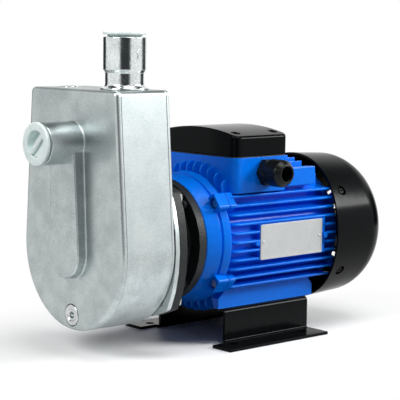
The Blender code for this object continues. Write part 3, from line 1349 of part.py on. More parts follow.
def make_side_fins():
    """Return one helper solid with the level fins of both sides."""
    mesh = bpy.data.meshes.new("side_fins")
    bm = bmesh.new()
    start = FRAME_START_Y + FIN_SETBACK
    end = COWL_TOP_FRONT_Y - FIN_REAR_GAP
    half_count = SIDE_FIN_COUNT // 2
    for i in range(-half_count, half_count + 1):
        z = i * SIDE_FIN_PITCH
        root = math.sqrt(FRAME_R ** 2 - z ** 2) - FIN_SINK
        tip = SIDE_FIN_TIP_R - SIDE_FIN_CROWN_R + math.sqrt(SIDE_FIN_CROWN_R ** 2 - z ** 2)
        for sign in (1, -1):
            made = fin_blade(bm, root, tip, start, end, (sign, 0))
            bmesh.ops.translate(bm, vec=(0, 0, z), verts=made)
    bm.to_mesh(mesh)
    bm.free()
    return new_object("side_fins", mesh)


def make_upright_fins(name, pairs, sign):
    """Return one helper solid with the upright fins of the top or the bottom."""
    mesh = bpy.data.meshes.new(name)
    bm = bmesh.new()
    start = FRAME_START_Y + FIN_SETBACK
    for i in range(pairs):
        x = (i + 0.5) * UPRIGHT_FIN_PITCH
        root = math.sqrt(FRAME_R ** 2 - x ** 2) - FIN_SINK
        tip = math.sqrt(UPRIGHT_FIN_TIP_R ** 2 - x ** 2)
        for side in (1, -1):
            made = fin_blade(bm, root, tip, start, UPRIGHT_FIN_END_Y, (0, sign))
            bmesh.ops.translate(bm, vec=(side * x, 0, 0), verts=made)
    bm.to_mesh(mesh)
    bm.free()
    return new_object(name, mesh)


def box_outline(inset):
    """Return the terminal box's rounded outline in (x, y)."""
    half = BOX_HALF_WIDTH - inset
    low = BOX_FRONT_Y + inset
    high = BOX_FRONT_Y + BOX_LENGTH - inset
    radius = max(BOX_CORNER_R - inset, 1 * MM)
    return rounded([(half, low, radius), (half, high, radius), (-half, high, radius),
                    (-half, low, radius)])


def make_foot(name, sign):
    """Return one cast foot: a wall under the drum, cut to its sloping ends."""
    inner = FOOT_INNER_X - 5 * MM
    section = [(FOOT_INNER_X, FOOT_BOTTOM_Z), (FOOT_OUTER_X, FOOT_BOTTOM_Z),
               (FOOT_OUTER_X, FOOT_TOP_Z), (FOOT_OUTER_X - 6 * MM, FOOT_TOP_Z + 5.5 * MM),
               (inner, FOOT_TOP_Z + 2 * MM), (inner, FOOT_TOP_Z - 5 * MM),
               (FOOT_INNER_X, FOOT_TOP_Z - 9 * MM)]
    start = FRAME_START_Y + LUG_SETBACK
    foot = plate(name, [[(sign * x, z) for x, z in section]], start, FOOT_END_Y)
    top = FOOT_TOP_Z + 9 * MM
    side = [(start - 1 * MM, FOOT_BOTTOM_Z - 1 * MM), (FOOT_END_Y + 1 * MM, FOOT_BOTTOM_Z - 1 * MM),
            (FOOT_END_Y + 1 * MM, FOOT_TOP_Z - 8 * MM), (FOOT_END_Y - FOOT_REAR_SLOPE, top),
            (start + FOOT_FRONT_SLOPE, top), (start - 1 * MM, FOOT_TOP_Z - 10 * MM)]
    reach = sorted((sign * (inner - 2 * MM), sign * (FOOT_OUTER_X + 2 * MM)))
    combine(foot, plate(name + "_ends", [side], reach[0], reach[1], 'X'), 'INTERSECT')
    return foot


def make_frame():
    """Build the finned frame with feet, terminal box walls, lugs and plate pad."""
    drum = rod("motor_frame", FRAME_R, FRAME_START_Y, FRAME_END_Y, steps=ROUND)
    bore = rod("frame_bore", FRAME_BORE_R, FRAME_START_Y - 5 * MM, FRAME_END_Y + 5 * MM,
               steps=ROUND)
    lower_fins = make_upright_fins("bottom_fins", BOTTOM_FIN_PAIRS, -1)
    trim = block("base_clearance", (-BASE_WEB_X, BASE_WINDOW_END_Y - 3 * MM, -2 * FRAME_R),
                 (BASE_WEB_X, COWL_END_Y, FOOT_BOTTOM_Z))
    cut(lower_fins, trim)
    join(drum, make_side_fins(), make_upright_fins("top_fins", TOP_FIN_PAIRS, 1), lower_fins)
    for side, sign in (("right", 1), ("left", -1)):
        join(drum, make_foot("foot_" + side, sign))
    middle_y = BOX_FRONT_Y + BOX_LENGTH / 2
    low_z = SHOULDER_BOTTOM_Z
    inner_x = BOX_HALF_WIDTH - 2 * BOX_WALL
    outer_x = BOX_HALF_WIDTH - SHOULDER_STEP
    deck = block("shoulder_deck", (-inner_x - 1 * MM, middle_y, low_z),
                 (inner_x + 1 * MM, SHOULDER_END_Y - 1 * MM, low_z + SHOULDER_DECK))
    right = block("shoulder_right", (inner_x, middle_y, low_z + 1 * MM),
                  (outer_x, SHOULDER_END_Y, SHOULDER_TOP_Z))
    left = block("shoulder_left", (-outer_x, middle_y, low_z + 1 * MM),
                 (-inner_x, SHOULDER_END_Y, SHOULDER_TOP_Z))
    box = plate("terminal_box_form", [box_outline(0)], SHOULDER_BOTTOM_Z - 2 * MM, BOX_TOP_Z, 'Z')
    join(drum, deck, right, left, box)
    plate_end = PLATE_START_Y + PLATE_LENGTH
    reach = PLATE_HEIGHT / 2 + PLATE_PAD_EDGE
    pad_low = (FRAME_R - 6 * MM, PLATE_START_Y - PLATE_PAD_FRONT, PLATE_CENTRE_Z - reach)
    pad_high = (SIDE_FIN_TIP_R + 1 * MM, plate_end + PLATE_PAD_REAR, PLATE_CENTRE_Z + reach)
    pad = block("plate_pad", pad_low, pad_high)
    margin = 1 * MM
    planed = block("plate_pad_face", (PLATE_FACE_X - GAP, pad_low[1] - margin, pad_low[2] - margin),
                   (2 * FRAME_R, pad_high[1] + margin, pad_high[2] + margin))
    join(drum, pad)
    cut(drum, planed)
    for i, y in enumerate((PLATE_START_Y - PLATE_BOSS_STEP, plate_end + PLATE_BOSS_STEP)):
        boss = rod("plate_boss_%d" % (i + 1), PLATE_BOSS_R, FRAME_R - 5 * MM,
                   SIDE_FIN_TIP_R + PLATE_BOSS_PROUD, 'X', (0, y, PLATE_CENTRE_Z), SMALL)
        join(drum, boss)
    for i, angle in enumerate(lug_angles()):
        x, z = polar(LUG_BOLT_R, angle)
        lug = lug_block("frame_lug_%d" % (i + 1), angle, FRAME_START_Y + LUG_SETBACK,
                        FRAME_START_Y + FRAME_LUG_LENGTH)
        join(drum, lug)
        hole = rod("frame_lug_hole_%d" % (i + 1), LUG_SCREW_R + GAP, FRAME_START_Y - 5 * MM,
                   FRAME_START_Y + FRAME_LUG_LENGTH - 1.5 * MM, 'Y', (x, 0, z), SMALL)
        cut(drum, hole)
    space = plate("terminal_box_space", [box_outline(BOX_WALL)], BOX_FLOOR_Z, BOX_TOP_Z + 5 * MM, 'Z')
    entry = rod("gland_hole", GLAND_THREAD_R + GAP, BOX_HALF_WIDTH - 3 * BOX_WALL,
                BOX_HALF_WIDTH + BOX_WALL, 'X', (0, GLAND_Y, GLAND_Z))
    cut(drum, space, entry, bore)
    for i, (x, y) in enumerate(base_bolt_places()):
        hole = rod("foot_hole_%d" % (i + 1), BASE_BOLT_R + GAP, FOOT_BOTTOM_Z - 5 * MM,
                   FOOT_BOTTOM_Z + BASE_BOLT_LENGTH, 'Z', (x, y, 0), SMALL)
        cut(drum, hole)
    for i, (x, y) in enumerate(cover_screw_places()):
        post = rod("screw_post_%d" % (i + 1), COVER_POST_R, BOX_FLOOR_Z - 1 * MM,
                   BOX_TOP_Z - 1 * MM, 'Z', (x, y, 0), SMALL)
        hole = rod("screw_post_hole_%d" % (i + 1), COVER_SCREW_R + GAP,
                   BOX_TOP_Z - 1.5 * COVER_SCREW_GRIP, BOX_TOP_Z + 5 * MM, 'Z', (x, y, 0), SMALL)
        join(drum, post)
        cut(drum, hole)
    keep(drum)
    paint(drum, MOTOR_BLUE, 0.32)


def make_rear_shield():
    """Build the rear end shield with its bearing housing and the posts for the cowl."""
    housing = BEARING_OUTER_R + GAP + HOUSING_WALL
    start = REAR_SHIELD_START_Y
    end = start + REAR_SHIELD_THICKNESS
    spigot = FRAME_END_Y - REAR_SPIGOT
    rim = FRAME_R + REAR_SHIELD_STEP
    inner = FRAME_BORE_R - GAP - SHIELD_WALL
    seat_end = REAR_BEARING_Y + BEARING_WIDTH + GAP
    profile = [(SHAFT_HOLE_R, seat_end), (BEARING_OUTER_R + GAP, seat_end),
               (BEARING_OUTER_R + GAP, REAR_BEARING_Y), (housing, REAR_BEARING_Y),
               (housing, start), (inner, start), (inner, spigot),
               (FRAME_BORE_R - GAP, spigot), (FRAME_BORE_R - GAP, start),
               (rim, start), (rim, end - REAR_SHIELD_STEP), (FRAME_R, end), (SHAFT_HOLE_R, end)]
    shield = turned("end_shield_rear", profile, steps=24)
    for i, angle in enumerate(cowl_screw_angles()):
        post = radial_rod("cowl_post_%d" % (i + 1), COWL_POST_R, FRAME_R - COWL_POST_ROOT,
                          cowl_seat_r() - GAP, angle, 10)
        hole = radial_rod("cowl_post_hole_%d" % (i + 1), COWL_SCREW_R + GAP,
                          cowl_seat_r() - COWL_SCREW_DEPTH, cowl_seat_r() + 5 * MM, angle,
                          SMALL)
        join(shield, post)
        cut(shield, hole)
    keep(shield)
    paint(shield, MOTOR_BLUE, 0.35)


def cowl_screw_angles():
    """Return the angles of the four screws that hold the cowl."""
    return (COWL_SCREW_ANGLE, 180 - COWL_SCREW_ANGLE, 180 + COWL_SCREW_ANGLE,
            360 - COWL_SCREW_ANGLE)


def cowl_r(y):
    """Return the cowl's outer radius on its straight tapering part."""
    share = (y - COWL_SIDE_FRONT_Y) / (COWL_END_Y - COWL_ROUND_R - COWL_SIDE_FRONT_Y)
    return COWL_FRONT_R + (COWL_REAR_R - COWL_FRONT_R) * share


def cowl_seat_r():
    """Return the radius of the inner end of the cowl's screw pockets."""
    return cowl_r(COWL_SCREW_Y) - COWL_SCREW_POCKET_DEPTH - COWL_WALL


def radial_rod(name, radius, start, end, angle, steps):
    """Return a cylinder that stands out from the shaft axis at the cowl screws' place."""
    target = rod(name, radius, start, end, 'Z', (0, 0, 0), steps)
    target.rotation_euler = (0.0, math.pi / 2 - math.radians(angle), 0.0)
    target.location = (0, COWL_SCREW_Y, 0)
    return target


def cowl_profile(inset):
    """Return the cowl's outer line from its open front to the axis, moved inwards."""
    start_y = COWL_SIDE_FRONT_Y - (0 if inset == 0 else 2 * MM)
    bend_y = COWL_END_Y - COWL_ROUND_R
    points = [(cowl_r(start_y) - inset, start_y)]
    points += [(COWL_REAR_R - COWL_ROUND_R + r, y) for r, y in
               arc(0, bend_y, COWL_ROUND_R - inset, 0, math.pi / 2, 5)]
    points.append((0, COWL_END_Y - inset))
    points.append((0, start_y))
    return points


def make_cowl():
    """Build the black fan cowl: a domed cup with a grille and an arched front rim."""
    cowl = turned("fan_cowl", cowl_profile(0), steps=ROUND, ring=False)
    hollow = turned("cowl_space", cowl_profile(COWL_WALL), steps=ROUND, ring=False)
    for i, angle in enumerate(cowl_screw_angles()):
        pocket_r = COWL_SCREW_POCKET_R + COWL_WALL
        cutter = radial_rod("cowl_boss_space_%d" % (i + 1), pocket_r,
                            cowl_seat_r(), COWL_FRONT_R - COWL_WALL / 2, angle, 10)
        combine(hollow, cutter, 'DIFFERENCE')
    cut(cowl, hollow)
    grille = []
    step = 2 * math.pi / GRILLE_SPOKES
    for ring in range(GRILLE_RINGS):
        low = GRILLE_INNER_R + ring * (GRILLE_SLOT + GRILLE_RIB)
        high = low + GRILLE_SLOT
        for spoke in range(GRILLE_SPOKES):
            first = spoke * step + GRILLE_RIB / low / 1.6
            last = (spoke + 1) * step - GRILLE_RIB / low / 1.6
            grille.append(arc(0, 0, low, first, last, 3) + arc(0, 0, high, last, first, 3))
    cut(cowl, plate("grille_slots", grille, COWL_END_Y - 4 * COWL_WALL, COWL_END_Y + 5 * MM))
    for i, angle in enumerate(cowl_screw_angles()):
        pocket = radial_rod("cowl_pocket_%d" % (i + 1), COWL_SCREW_POCKET_R,
                            cowl_seat_r() + COWL_WALL, COWL_FRONT_R + 5 * MM, angle, 10)
        hole = radial_rod("cowl_hole_%d" % (i + 1), COWL_SCREW_R + GAP, cowl_seat_r() - 5 * MM,
                          COWL_FRONT_R + 5 * MM, angle, SMALL)
        cut(cowl, pocket, hole)
    cut(cowl, front_arch())
    keep(cowl)
    paint(cowl, GLOSS_BLACK, 0.15)


def front_arch():
    """Return the cutter that sets the rim back at top and bottom."""
    depth = COWL_TOP_FRONT_Y - COWL_SIDE_FRONT_Y
    reach = COWL_FRONT_R
    rim = []
    steps = 8
    for i in range(steps + 1):
        z = reach * (1 - 2 * i / steps) * 1.05
        rim.append((COWL_SIDE_FRONT_Y + 0.3 * MM + depth * (z / reach) ** 2, z))
    low = COWL_SIDE_FRONT_Y - 20 * MM
    outline = [(low, reach * 1.2)] + [(rim[0][0], reach * 1.2)] + rim
    outline += [(rim[-1][0], -reach * 1.2), (low, -reach * 1.2)]
    return plate("cowl_front_arch", [outline], -COWL_FRONT_R * 1.2, COWL_FRONT_R * 1.2, 'X')


# Windings and electrical parts

def make_stator():
    """Build the stator core with open slots and the winding overhang at each end."""
    inner = []
    pitch = 2 * math.pi / STATOR_SLOTS
    tooth = pitch * 0.55
    for i in range(STATOR_SLOTS):
        a = i * pitch
        inner += arc(0, 0, STATOR_BORE_R, a - tooth / 2, a + tooth / 2, 1)
        inner += arc(0, 0, STATOR_SLOT_R, a + tooth / 2 * 1.2, a + pitch - tooth / 2 * 1.2, 1)
    end = STATOR_START_Y + STATOR_LENGTH
    core = plate("stator_core", [circle(FRAME_BORE_R - GAP), inner], STATOR_START_Y, end)
    keep(core)
    paint(core, IRON_GREY, 0.5, 1.0)
    start = STATOR_START_Y - GAP - WINDING_OVERHANG
    for name, low in (("winding_front", start), ("winding_rear", end + GAP)):
        high = low + WINDING_OVERHANG
        soft = 3 * MM
        outward = low if low < STATOR_START_Y else high
        inward = low + high - outward
        shift = soft if outward < inward else -soft
        profile = [(WINDING_INNER_R, inward), (WINDING_INNER_R, outward + shift),
                   (WINDING_INNER_R + soft, outward), (WINDING_OUTER_R - soft, outward),
                   (WINDING_OUTER_R, outward + shift), (WINDING_OUTER_R, inward)]
        winding = turned(name, profile, steps=INNER)
        keep(winding)
        paint(winding, COPPER, 0.4, 0.8)


def crown_outline(inset, bottom):
    """Return the cover's section in (x, z): straight sides under a shallow crown."""
    half = BOX_HALF_WIDTH - inset
    side_top = COVER_BOTTOM_Z + COVER_SIDE_HEIGHT - inset
    radius = (half * half + COVER_CROWN * COVER_CROWN) / (2 * COVER_CROWN)
    swing = math.asin(half / radius)
    top = arc(0, side_top + COVER_CROWN - radius, radius, math.pi / 2 - swing,
              math.pi / 2 + swing, 12)
    return [(-half, bottom), (half, bottom)] + top


def upright_corner(a, b):
    """Say whether an edge's ends lie above one another, as at the cover's corners."""
    return close_to(a.y, b.y) and close_to(a.x, b.x) and abs(a.z - b.z) > 5 * MM


def make_terminal_cover():
    """Build the crowned cover, its gasket, its screws and the terminal board."""
    low = BOX_FRONT_Y
    high = BOX_FRONT_Y + BOX_LENGTH
    cover = plate("terminal_cover", [crown_outline(0, COVER_BOTTOM_Z)], low, high)
    round_edges(cover, upright_corner, BOX_CORNER_R, 4)
    space = plate("cover_space", [crown_outline(COVER_WALL, COVER_BOTTOM_Z - 5 * MM)],
                  low + COVER_WALL, high - COVER_WALL)
    round_edges(space, upright_corner, BOX_CORNER_R - COVER_WALL, 4)
    for i, (x, y) in enumerate(cover_screw_places()):
        pillar = rod("cover_pillar_%d" % (i + 1), COVER_SCREW_POCKET_R + COVER_WALL,
                     COVER_BOTTOM_Z, cover_top_z(x) + 5 * MM, 'Z', (x, y, 0), 12)
        combine(space, pillar, 'DIFFERENCE')
    cut(cover, space)
    for i, (x, y) in enumerate(cover_screw_places()):
        pocket = rod("cover_pocket_%d" % (i + 1), COVER_SCREW_POCKET_R, screw_seat_z(x),
                     cover_top_z(x) + 9 * MM, 'Z', (x, y, 0), 12)
        hole = rod("cover_hole_%d" % (i + 1), COVER_SCREW_R + GAP, COVER_BOTTOM_Z - 5 * MM,
                   cover_top_z(x) + 9 * MM, 'Z', (x, y, 0), SMALL)
        cut(cover, pocket, hole)
    keep(cover)
    paint(cover, GLOSS_BLACK, 0.15)

    holes = [circle(COVER_SCREW_R + GAP, x, y, SMALL) for x, y in cover_screw_places()]
    gasket_low = BOX_TOP_Z + GAP
    band = BOX_CORNER_R + COVER_SCREW_INSET_Y
    inner = rounded([(BOX_HALF_WIDTH - band, low + band - 1 * MM, 2 * MM),
                     (BOX_HALF_WIDTH - band, high - band + 1 * MM, 2 * MM),
                     (-BOX_HALF_WIDTH + band, high - band + 1 * MM, 2 * MM),
                     (-BOX_HALF_WIDTH + band, low + band - 1 * MM, 2 * MM)], 2)
    gasket = plate("terminal_gasket", [box_outline(0), inner] + holes, gasket_low,
                   gasket_low + GASKET_THICKNESS, 'Z')
    keep(gasket)
    paint(gasket, RUBBER_BLACK, 0.7)


def cover_top_z(x):
    """Return the height of the cover's crown over a place."""
    half = BOX_HALF_WIDTH
    radius = (half * half + COVER_CROWN * COVER_CROWN) / (2 * COVER_CROWN)
    crown = COVER_BOTTOM_Z + COVER_SIDE_HEIGHT + COVER_CROWN
    return crown - radius + math.sqrt(radius * radius - x * x)


def screw_seat_z(x):
    """Return the height of a cover screw's seat."""
    return cover_top_z(x) - COVER_SCREW_POCKET_DEPTH


def cover_screw_places():
    """Return the four (x, y) places of the cover screws."""
    low = BOX_FRONT_Y + COVER_SCREW_INSET_Y
    high = BOX_FRONT_Y + BOX_LENGTH - COVER_SCREW_INSET_Y
    return [(COVER_SCREW_X, low), (-COVER_SCREW_X, low), (-COVER_SCREW_X, high),
            (COVER_SCREW_X, high)]


def base_bolt_places():
    """Return the four (x, y) places of the bolts between base and frame."""
    return [(BASE_BOLT_X, BASE_BOLT_FRONT_Y), (-BASE_BOLT_X, BASE_BOLT_FRONT_Y),
            (-BASE_BOLT_X, BASE_BOLT_REAR_Y), (BASE_BOLT_X, BASE_BOLT_REAR_Y)]


def make_terminal_board():
    """Build the moulded board with six terminal studs on the box floor."""
    low_z = BOX_FLOOR_Z + GAP
    board = block("terminal_board", (-BOARD_SIZE_X / 2, BOX_CENTRE_Y - BOARD_SIZE_Y / 2, low_z),
                  (BOARD_SIZE_X / 2, BOX_CENTRE_Y + BOARD_SIZE_Y / 2, low_z + BOARD_THICKNESS))
    for i in range(6):
        x = (i % 3 - 1) * BOARD_SIZE_X / 3.4
        y = BOX_CENTRE_Y + (i // 3 - 0.5) * BOARD_SIZE_Y / 2.2
        stud = rod("stud_%d" % (i + 1), STUD_R, low_z + 1 * MM,
                   low_z + BOARD_THICKNESS + STUD_HEIGHT, 'Z', (x, y, 0), 10)
        join(board, stud)
    keep(board)
    paint(board, BOARD_BROWN, 0.5)


def make_gland():
    """Build the cable gland: threaded body with a hexagon, and its domed nut."""
    at = (0, GLAND_Y, GLAND_Z)
    start = GLAND_START_X
    thread_start = BOX_HALF_WIDTH - BOX_WALL - GLAND_TAIL
    spigot_end = start + GLAND_HEX_LENGTH + GLAND_NUT_LENGTH * 0.55
    body = tube("gland_body", GLAND_BORE_R, GLAND_THREAD_R, thread_start, spigot_end, 'X', at,
                MEDIUM)
    hexagon = rod("gland_hexagon", GLAND_HEX_R, start, start + GLAND_HEX_LENGTH, 'X', at, 6)
    through = rod("gland_bore", GLAND_BORE_R, thread_start - 5 * MM, spigot_end + 5 * MM, 'X',
                  at, MEDIUM)
    join(body, hexagon)
    cut(body, through)
    keep(body)
    paint(body, GLOSS_BLACK, 0.4)

    low = GLAND_NUT_START_X
    high = GLAND_END_X
    dome = GLAND_DOME_R
    mouth = GLAND_BORE_R + GLAND_MOUTH_STEP
    inner = GLAND_THREAD_R + GAP
    profile = [(inner, low), (GLAND_NUT_R, low), (GLAND_NUT_R, high - dome)]
    profile += [(GLAND_NUT_R - dome + dome * math.cos(a), high - dome + dome * math.sin(a))
                for a in (math.radians(d) for d in (30, 60, 90))]
    profile += [(mouth, high), (mouth, spigot_end + 2 * MM), (inner, spigot_end + 1 * MM)]
    marker = joint_marker("gland_nut_axis", (low, GLAND_Y, GLAND_Z))
    nut = turned("gland_nut", profile, 'X', at, MEDIUM)
    keep(nut, marker)
    paint(nut, GLOSS_BLACK, 0.35)


def make_plate():
    """Build the bare metal plate with a rivet head at each end."""
    low_z = PLATE_CENTRE_Z - PLATE_HEIGHT / 2
    end = PLATE_START_Y + PLATE_LENGTH
    face = PLATE_FACE_X + PLATE_THICKNESS
    bare = block("rating_plate", (PLATE_FACE_X, PLATE_START_Y, low_z),
                 (face, end, low_z + PLATE_HEIGHT))
    for i, y in enumerate((PLATE_START_Y + RIVET_INSET, end - RIVET_INSET)):
        rivet = rod("plate_rivet_%d" % (i + 1), RIVET_R, face - PLATE_THICKNESS / 2,
                    face + RIVET_HEAD, 'X', (0, y, PLATE_CENTRE_Z), SMALL)
        join(bare, rivet)
    keep(bare)
    paint(bare, ZINC, 0.35, 0.9)


def make_base():
    """Build the folded base: top, two webs and two feet with holes."""
    top = BASE_TOP_Z
    sheet = BASE_SHEET
    outer_r = BASE_BEND_R
    inner_r = max(BASE_BEND_R - sheet, 0.5 * MM)
    corners = [(-BASE_FOOT_X, FLOOR_Z, 0), (-BASE_WEB_X + sheet, FLOOR_Z, outer_r),
               (-BASE_WEB_X + sheet, top - sheet, inner_r),
               (BASE_WEB_X - sheet, top - sheet, inner_r),
               (BASE_WEB_X - sheet, FLOOR_Z, outer_r), (BASE_FOOT_X, FLOOR_Z, 0),
               (BASE_FOOT_X, FLOOR_Z + sheet, 0), (BASE_WEB_X, FLOOR_Z + sheet, inner_r),
               (BASE_WEB_X, top, outer_r), (-BASE_WEB_X, top, outer_r),
               (-BASE_WEB_X, FLOOR_Z + sheet, inner_r), (-BASE_FOOT_X, FLOOR_Z + sheet, 0)]
    base = plate("base_bracket", [rounded(corners, 3)], BASE_START_Y, BASE_END_Y)
    for side, sign in (("right", 1), ("left", -1)):
        toe_low, toe_high = sorted((sign * BASE_TOE_INNER_X, sign * BASE_FOOT_X))
        toe = block("toe_" + side, (toe_low, BASE_TOE_START_Y, FLOOR_Z),
                    (toe_high, BASE_START_Y + 5 * MM, FLOOR_Z + sheet))
        join(base, toe)
    window = block("base_window", (-BASE_WINDOW_X, BASE_START_Y - 5 * MM, top - 3 * sheet),
                   (BASE_WINDOW_X, BASE_WINDOW_END_Y, top + 5 * MM))
    cut(base, window)
    for i, (sx, y) in enumerate(((1, BASE_HOLE_FRONT_Y), (-1, BASE_HOLE_FRONT_Y),
                                 (-1, BASE_HOLE_REAR_Y), (1, BASE_HOLE_REAR_Y))):
        hole = rod("base_hole_%d" % (i + 1), BASE_HOLE_R, FLOOR_Z - 5 * MM,
                   FLOOR_Z + 2 * sheet, 'Z', (sx * BASE_HOLE_X, y, 0), 16)
        cut(base, hole)
    for i, (x, y) in enumerate(base_bolt_places()):
        hole = rod("base_bolt_hole_%d" % (i + 1), BASE_BOLT_R + GAP, top - 2 * sheet,
                   top + 5 * MM, 'Z', (x, y, 0), SMALL)
        cut(base, hole)
    keep(base)
    paint(base, GLOSS_BLACK, 0.2)


# Fasteners: the head's underside is at height 0, and the shank runs to -length

def fastener_mesh(name, head_r, head, shank_r, length, head_sides):
    """Return the mesh of a screw with a plain shank, head up along Z."""
    body = helper(rod(name, head_r, 0, head, 'Z', steps=head_sides))
    shank = rod(name + "_shank", shank_r, -length, head / 2, 'Z', steps=SMALL)
    join(body, shank)
    baked(body)
    bpy.data.objects.remove(shank, do_unlink=True)
    mesh = body.data
    bpy.data.objects.remove(body, do_unlink=True)
    return mesh


def place_fastener(name, mesh, axis, at, colour, roughness=0.3, metallic=1.0):
    """Add one fastener; at is the point under its head."""
    screw = new_object(name, mesh)
    screw.rotation_euler = TURN_AXIS[axis]
    screw.location = at
    keep(screw)
    if not mesh.materials:
        paint(screw, colour, roughness, metallic)
    return screw


def make_fasteners():
    """Place the casing bolts, shield bolts, cover screws, cowl screws and base bolts."""
    length = BRACKET_FLANGE_THICKNESS + BACK_PLATE_THICKNESS + GAP
    mesh = fastener_mesh("casing_bolt", CASING_BOLT_HEAD_R, CASING_BOLT_HEAD, CASING_BOLT_R,
                         length, 6)
    for i, (sx, sz) in enumerate(CORNER_SIGNS):
        place_fastener("casing_bolt_%d" % (i + 1), mesh, 'Y',
                       (sx * CASING_BOLT_X, BRACKET_FLANGE_END_Y + GAP, sz * CASING_BOLT_Z), ZINC)
    seat = LUG_FRONT_Y + LUG_POCKET_DEPTH - GAP
    length = FRAME_START_Y + FRAME_LUG_LENGTH - 2.5 * MM - seat
    mesh = fastener_mesh("shield_bolt", LUG_SCREW_HEAD_R, LUG_SCREW_HEAD, LUG_SCREW_R, length, 6)
    for i, angle in enumerate(lug_angles()):
        x, z = polar(LUG_BOLT_R, angle)
        place_fastener("shield_bolt_%d" % (i + 1), mesh, '-Y', (x, seat, z), ZINC)
    mesh = fastener_mesh("cover_screw", COVER_SCREW_HEAD_R, COVER_SCREW_HEAD, COVER_SCREW_R,
                         screw_seat_z(COVER_SCREW_X) - BOX_TOP_Z + COVER_SCREW_GRIP, 10)
    for i, (x, y) in enumerate(cover_screw_places()):
        place_fastener("cover_screw_%d" % (i + 1), mesh, 'Z', (x, y, screw_seat_z(x) + GAP), ZINC)
    mesh = fastener_mesh("cowl_screw", COWL_SCREW_HEAD_R, COWL_SCREW_HEAD, COWL_SCREW_R,
                         COWL_WALL + COWL_SCREW_GRIP, 10)
    for i, angle in enumerate(cowl_screw_angles()):
        screw = place_fastener("cowl_screw_%d" % (i + 1), mesh, 'Z', (0, 0, 0), GLOSS_BLACK, 0.4, 0.2)
        x, z = polar(cowl_seat_r() + COWL_WALL + GAP, angle)
        screw.rotation_euler = (0.0, math.pi / 2 - math.radians(angle), 0.0)
        screw.location = (x, COWL_SCREW_Y, z)
    mesh = fastener_mesh("base_bolt", BASE_BOLT_HEAD_R, BASE_BOLT_HEAD, BASE_BOLT_R,
                         BASE_BOLT_LENGTH, 6)
    for i, (x, y) in enumerate(base_bolt_places()):
        place_fastener("base_bolt_%d" % (i + 1), mesh, '-Z',
                       (x, y, BASE_TOP_Z - BASE_SHEET - GAP), ZINC)


def build_pump():
    """Build every piece of the pump."""
    make_casing()
    make_transit_plug("suction_plug", '-Y', (0, -SUCTION_NOZZLE_LENGTH, SUCTION_Z))
    make_discharge_nozzle()
    make_transit_plug("discharge_plug", 'Z',
                      (DISCHARGE_X, DISCHARGE_Y, CASING_TOP_Z + GAP + DISCHARGE_HEIGHT))
    make_socket_plug("drain_plug", '-Y', (0, 0, DRAIN_Z))
    make_socket_plug("priming_plug", 'Z', (PRIMING_X, DISCHARGE_Y, CASING_TOP_Z))
    make_check_flap()
    make_back_plate()
    make_seal_plate()
    make_volute()
    make_impeller()
    make_impeller_nut()
    make_seal()
    make_shaft()
    make_slinger()
    make_bracket()
    make_front_shield()
    make_frame()
    make_stator()
    make_rotor()
    make_bearing("bearing_front", FRONT_BEARING_Y)
    make_bearing("bearing_rear", REAR_BEARING_Y)
    make_rear_shield()
    make_fan()
    make_cowl()
    make_terminal_cover()
    make_terminal_board()
    make_gland()
    make_plate()
    make_base()
    make_fasteners()
    bpy.context.view_layer.update()


build_pump()
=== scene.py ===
"""Dress a packed self-priming pump for a studio picture.

Sizes are in millimetres on the pump's own axes: X = 0 and Z = 0 lie on the shaft, Y = 0
is the casing's front face, -Y is the suction side and +Z is up. Each finished mesh is
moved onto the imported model's axes when it is made into an object.
"""

import json
import logging
import math
from dataclasses import dataclass, field
from enum import Enum
from typing import Callable, Sequence

import bmesh
import bpy
from mathutils import Matrix, Vector


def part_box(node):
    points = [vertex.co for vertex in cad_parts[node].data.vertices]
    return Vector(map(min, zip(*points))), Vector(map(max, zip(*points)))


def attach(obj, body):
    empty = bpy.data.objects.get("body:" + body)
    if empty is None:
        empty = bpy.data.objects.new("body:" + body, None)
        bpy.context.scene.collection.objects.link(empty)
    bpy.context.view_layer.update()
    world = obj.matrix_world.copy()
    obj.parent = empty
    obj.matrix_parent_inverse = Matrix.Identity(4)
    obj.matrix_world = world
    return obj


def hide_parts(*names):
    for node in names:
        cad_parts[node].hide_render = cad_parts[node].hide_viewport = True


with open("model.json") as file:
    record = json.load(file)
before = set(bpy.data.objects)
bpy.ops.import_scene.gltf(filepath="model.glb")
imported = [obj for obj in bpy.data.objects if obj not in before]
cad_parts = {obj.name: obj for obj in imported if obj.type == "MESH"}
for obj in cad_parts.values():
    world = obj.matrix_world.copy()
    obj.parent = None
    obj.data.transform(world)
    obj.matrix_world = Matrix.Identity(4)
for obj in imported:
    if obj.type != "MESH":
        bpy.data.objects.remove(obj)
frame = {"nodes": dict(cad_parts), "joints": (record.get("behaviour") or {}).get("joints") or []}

LOG = logging.getLogger("pump")
Point = tuple[float, float]
Corner = tuple[float, float, float]
CLEAR = 0.3                     # gap between pieces that touch
WELD = 0.002                    # points of a new shape that lie closer than this are one
CAD_WELD = 0.001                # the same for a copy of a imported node
CAD_FLAT = 0.5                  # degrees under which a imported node's facets are one face
CAD_SMOOTH = 30.0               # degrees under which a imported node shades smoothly
CUT_TRIES = 12                  # the cowl is made anew if a Boolean takes out for in
EVEN_WEIGHT = 60                # how far large faces lead the shading of rounded edges
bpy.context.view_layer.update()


def packed_origin() -> Vector:
    """Find the pump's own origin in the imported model.

    Returns:
        The place where the shaft axis meets the casing's front face, in metres.
    """
    shaft = next(j for j in frame["joints"] if j["name"] == "shaft_spin")["pos_m"]
    plate_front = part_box("casing_back_plate")[0].y
    return Vector((shaft[0], plate_front - (PumpCasing.depth + CLEAR) / 1000, shaft[2]))


class Axis(Enum):
    """The directions that shapes are laid along, as a line and the quarter turns about it."""

    X = ("Y", 1)
    Y = ("X", -1)
    MINUS_Y = ("X", 1)
    Z = ("X", 0)

    @property
    def turn(self) -> Matrix:
        """Give the rotation that lays a shape's height along this direction."""
        line, quarters = self.value
        return Matrix.Rotation(quarters * math.pi / 2, 4, line)


# Outlines


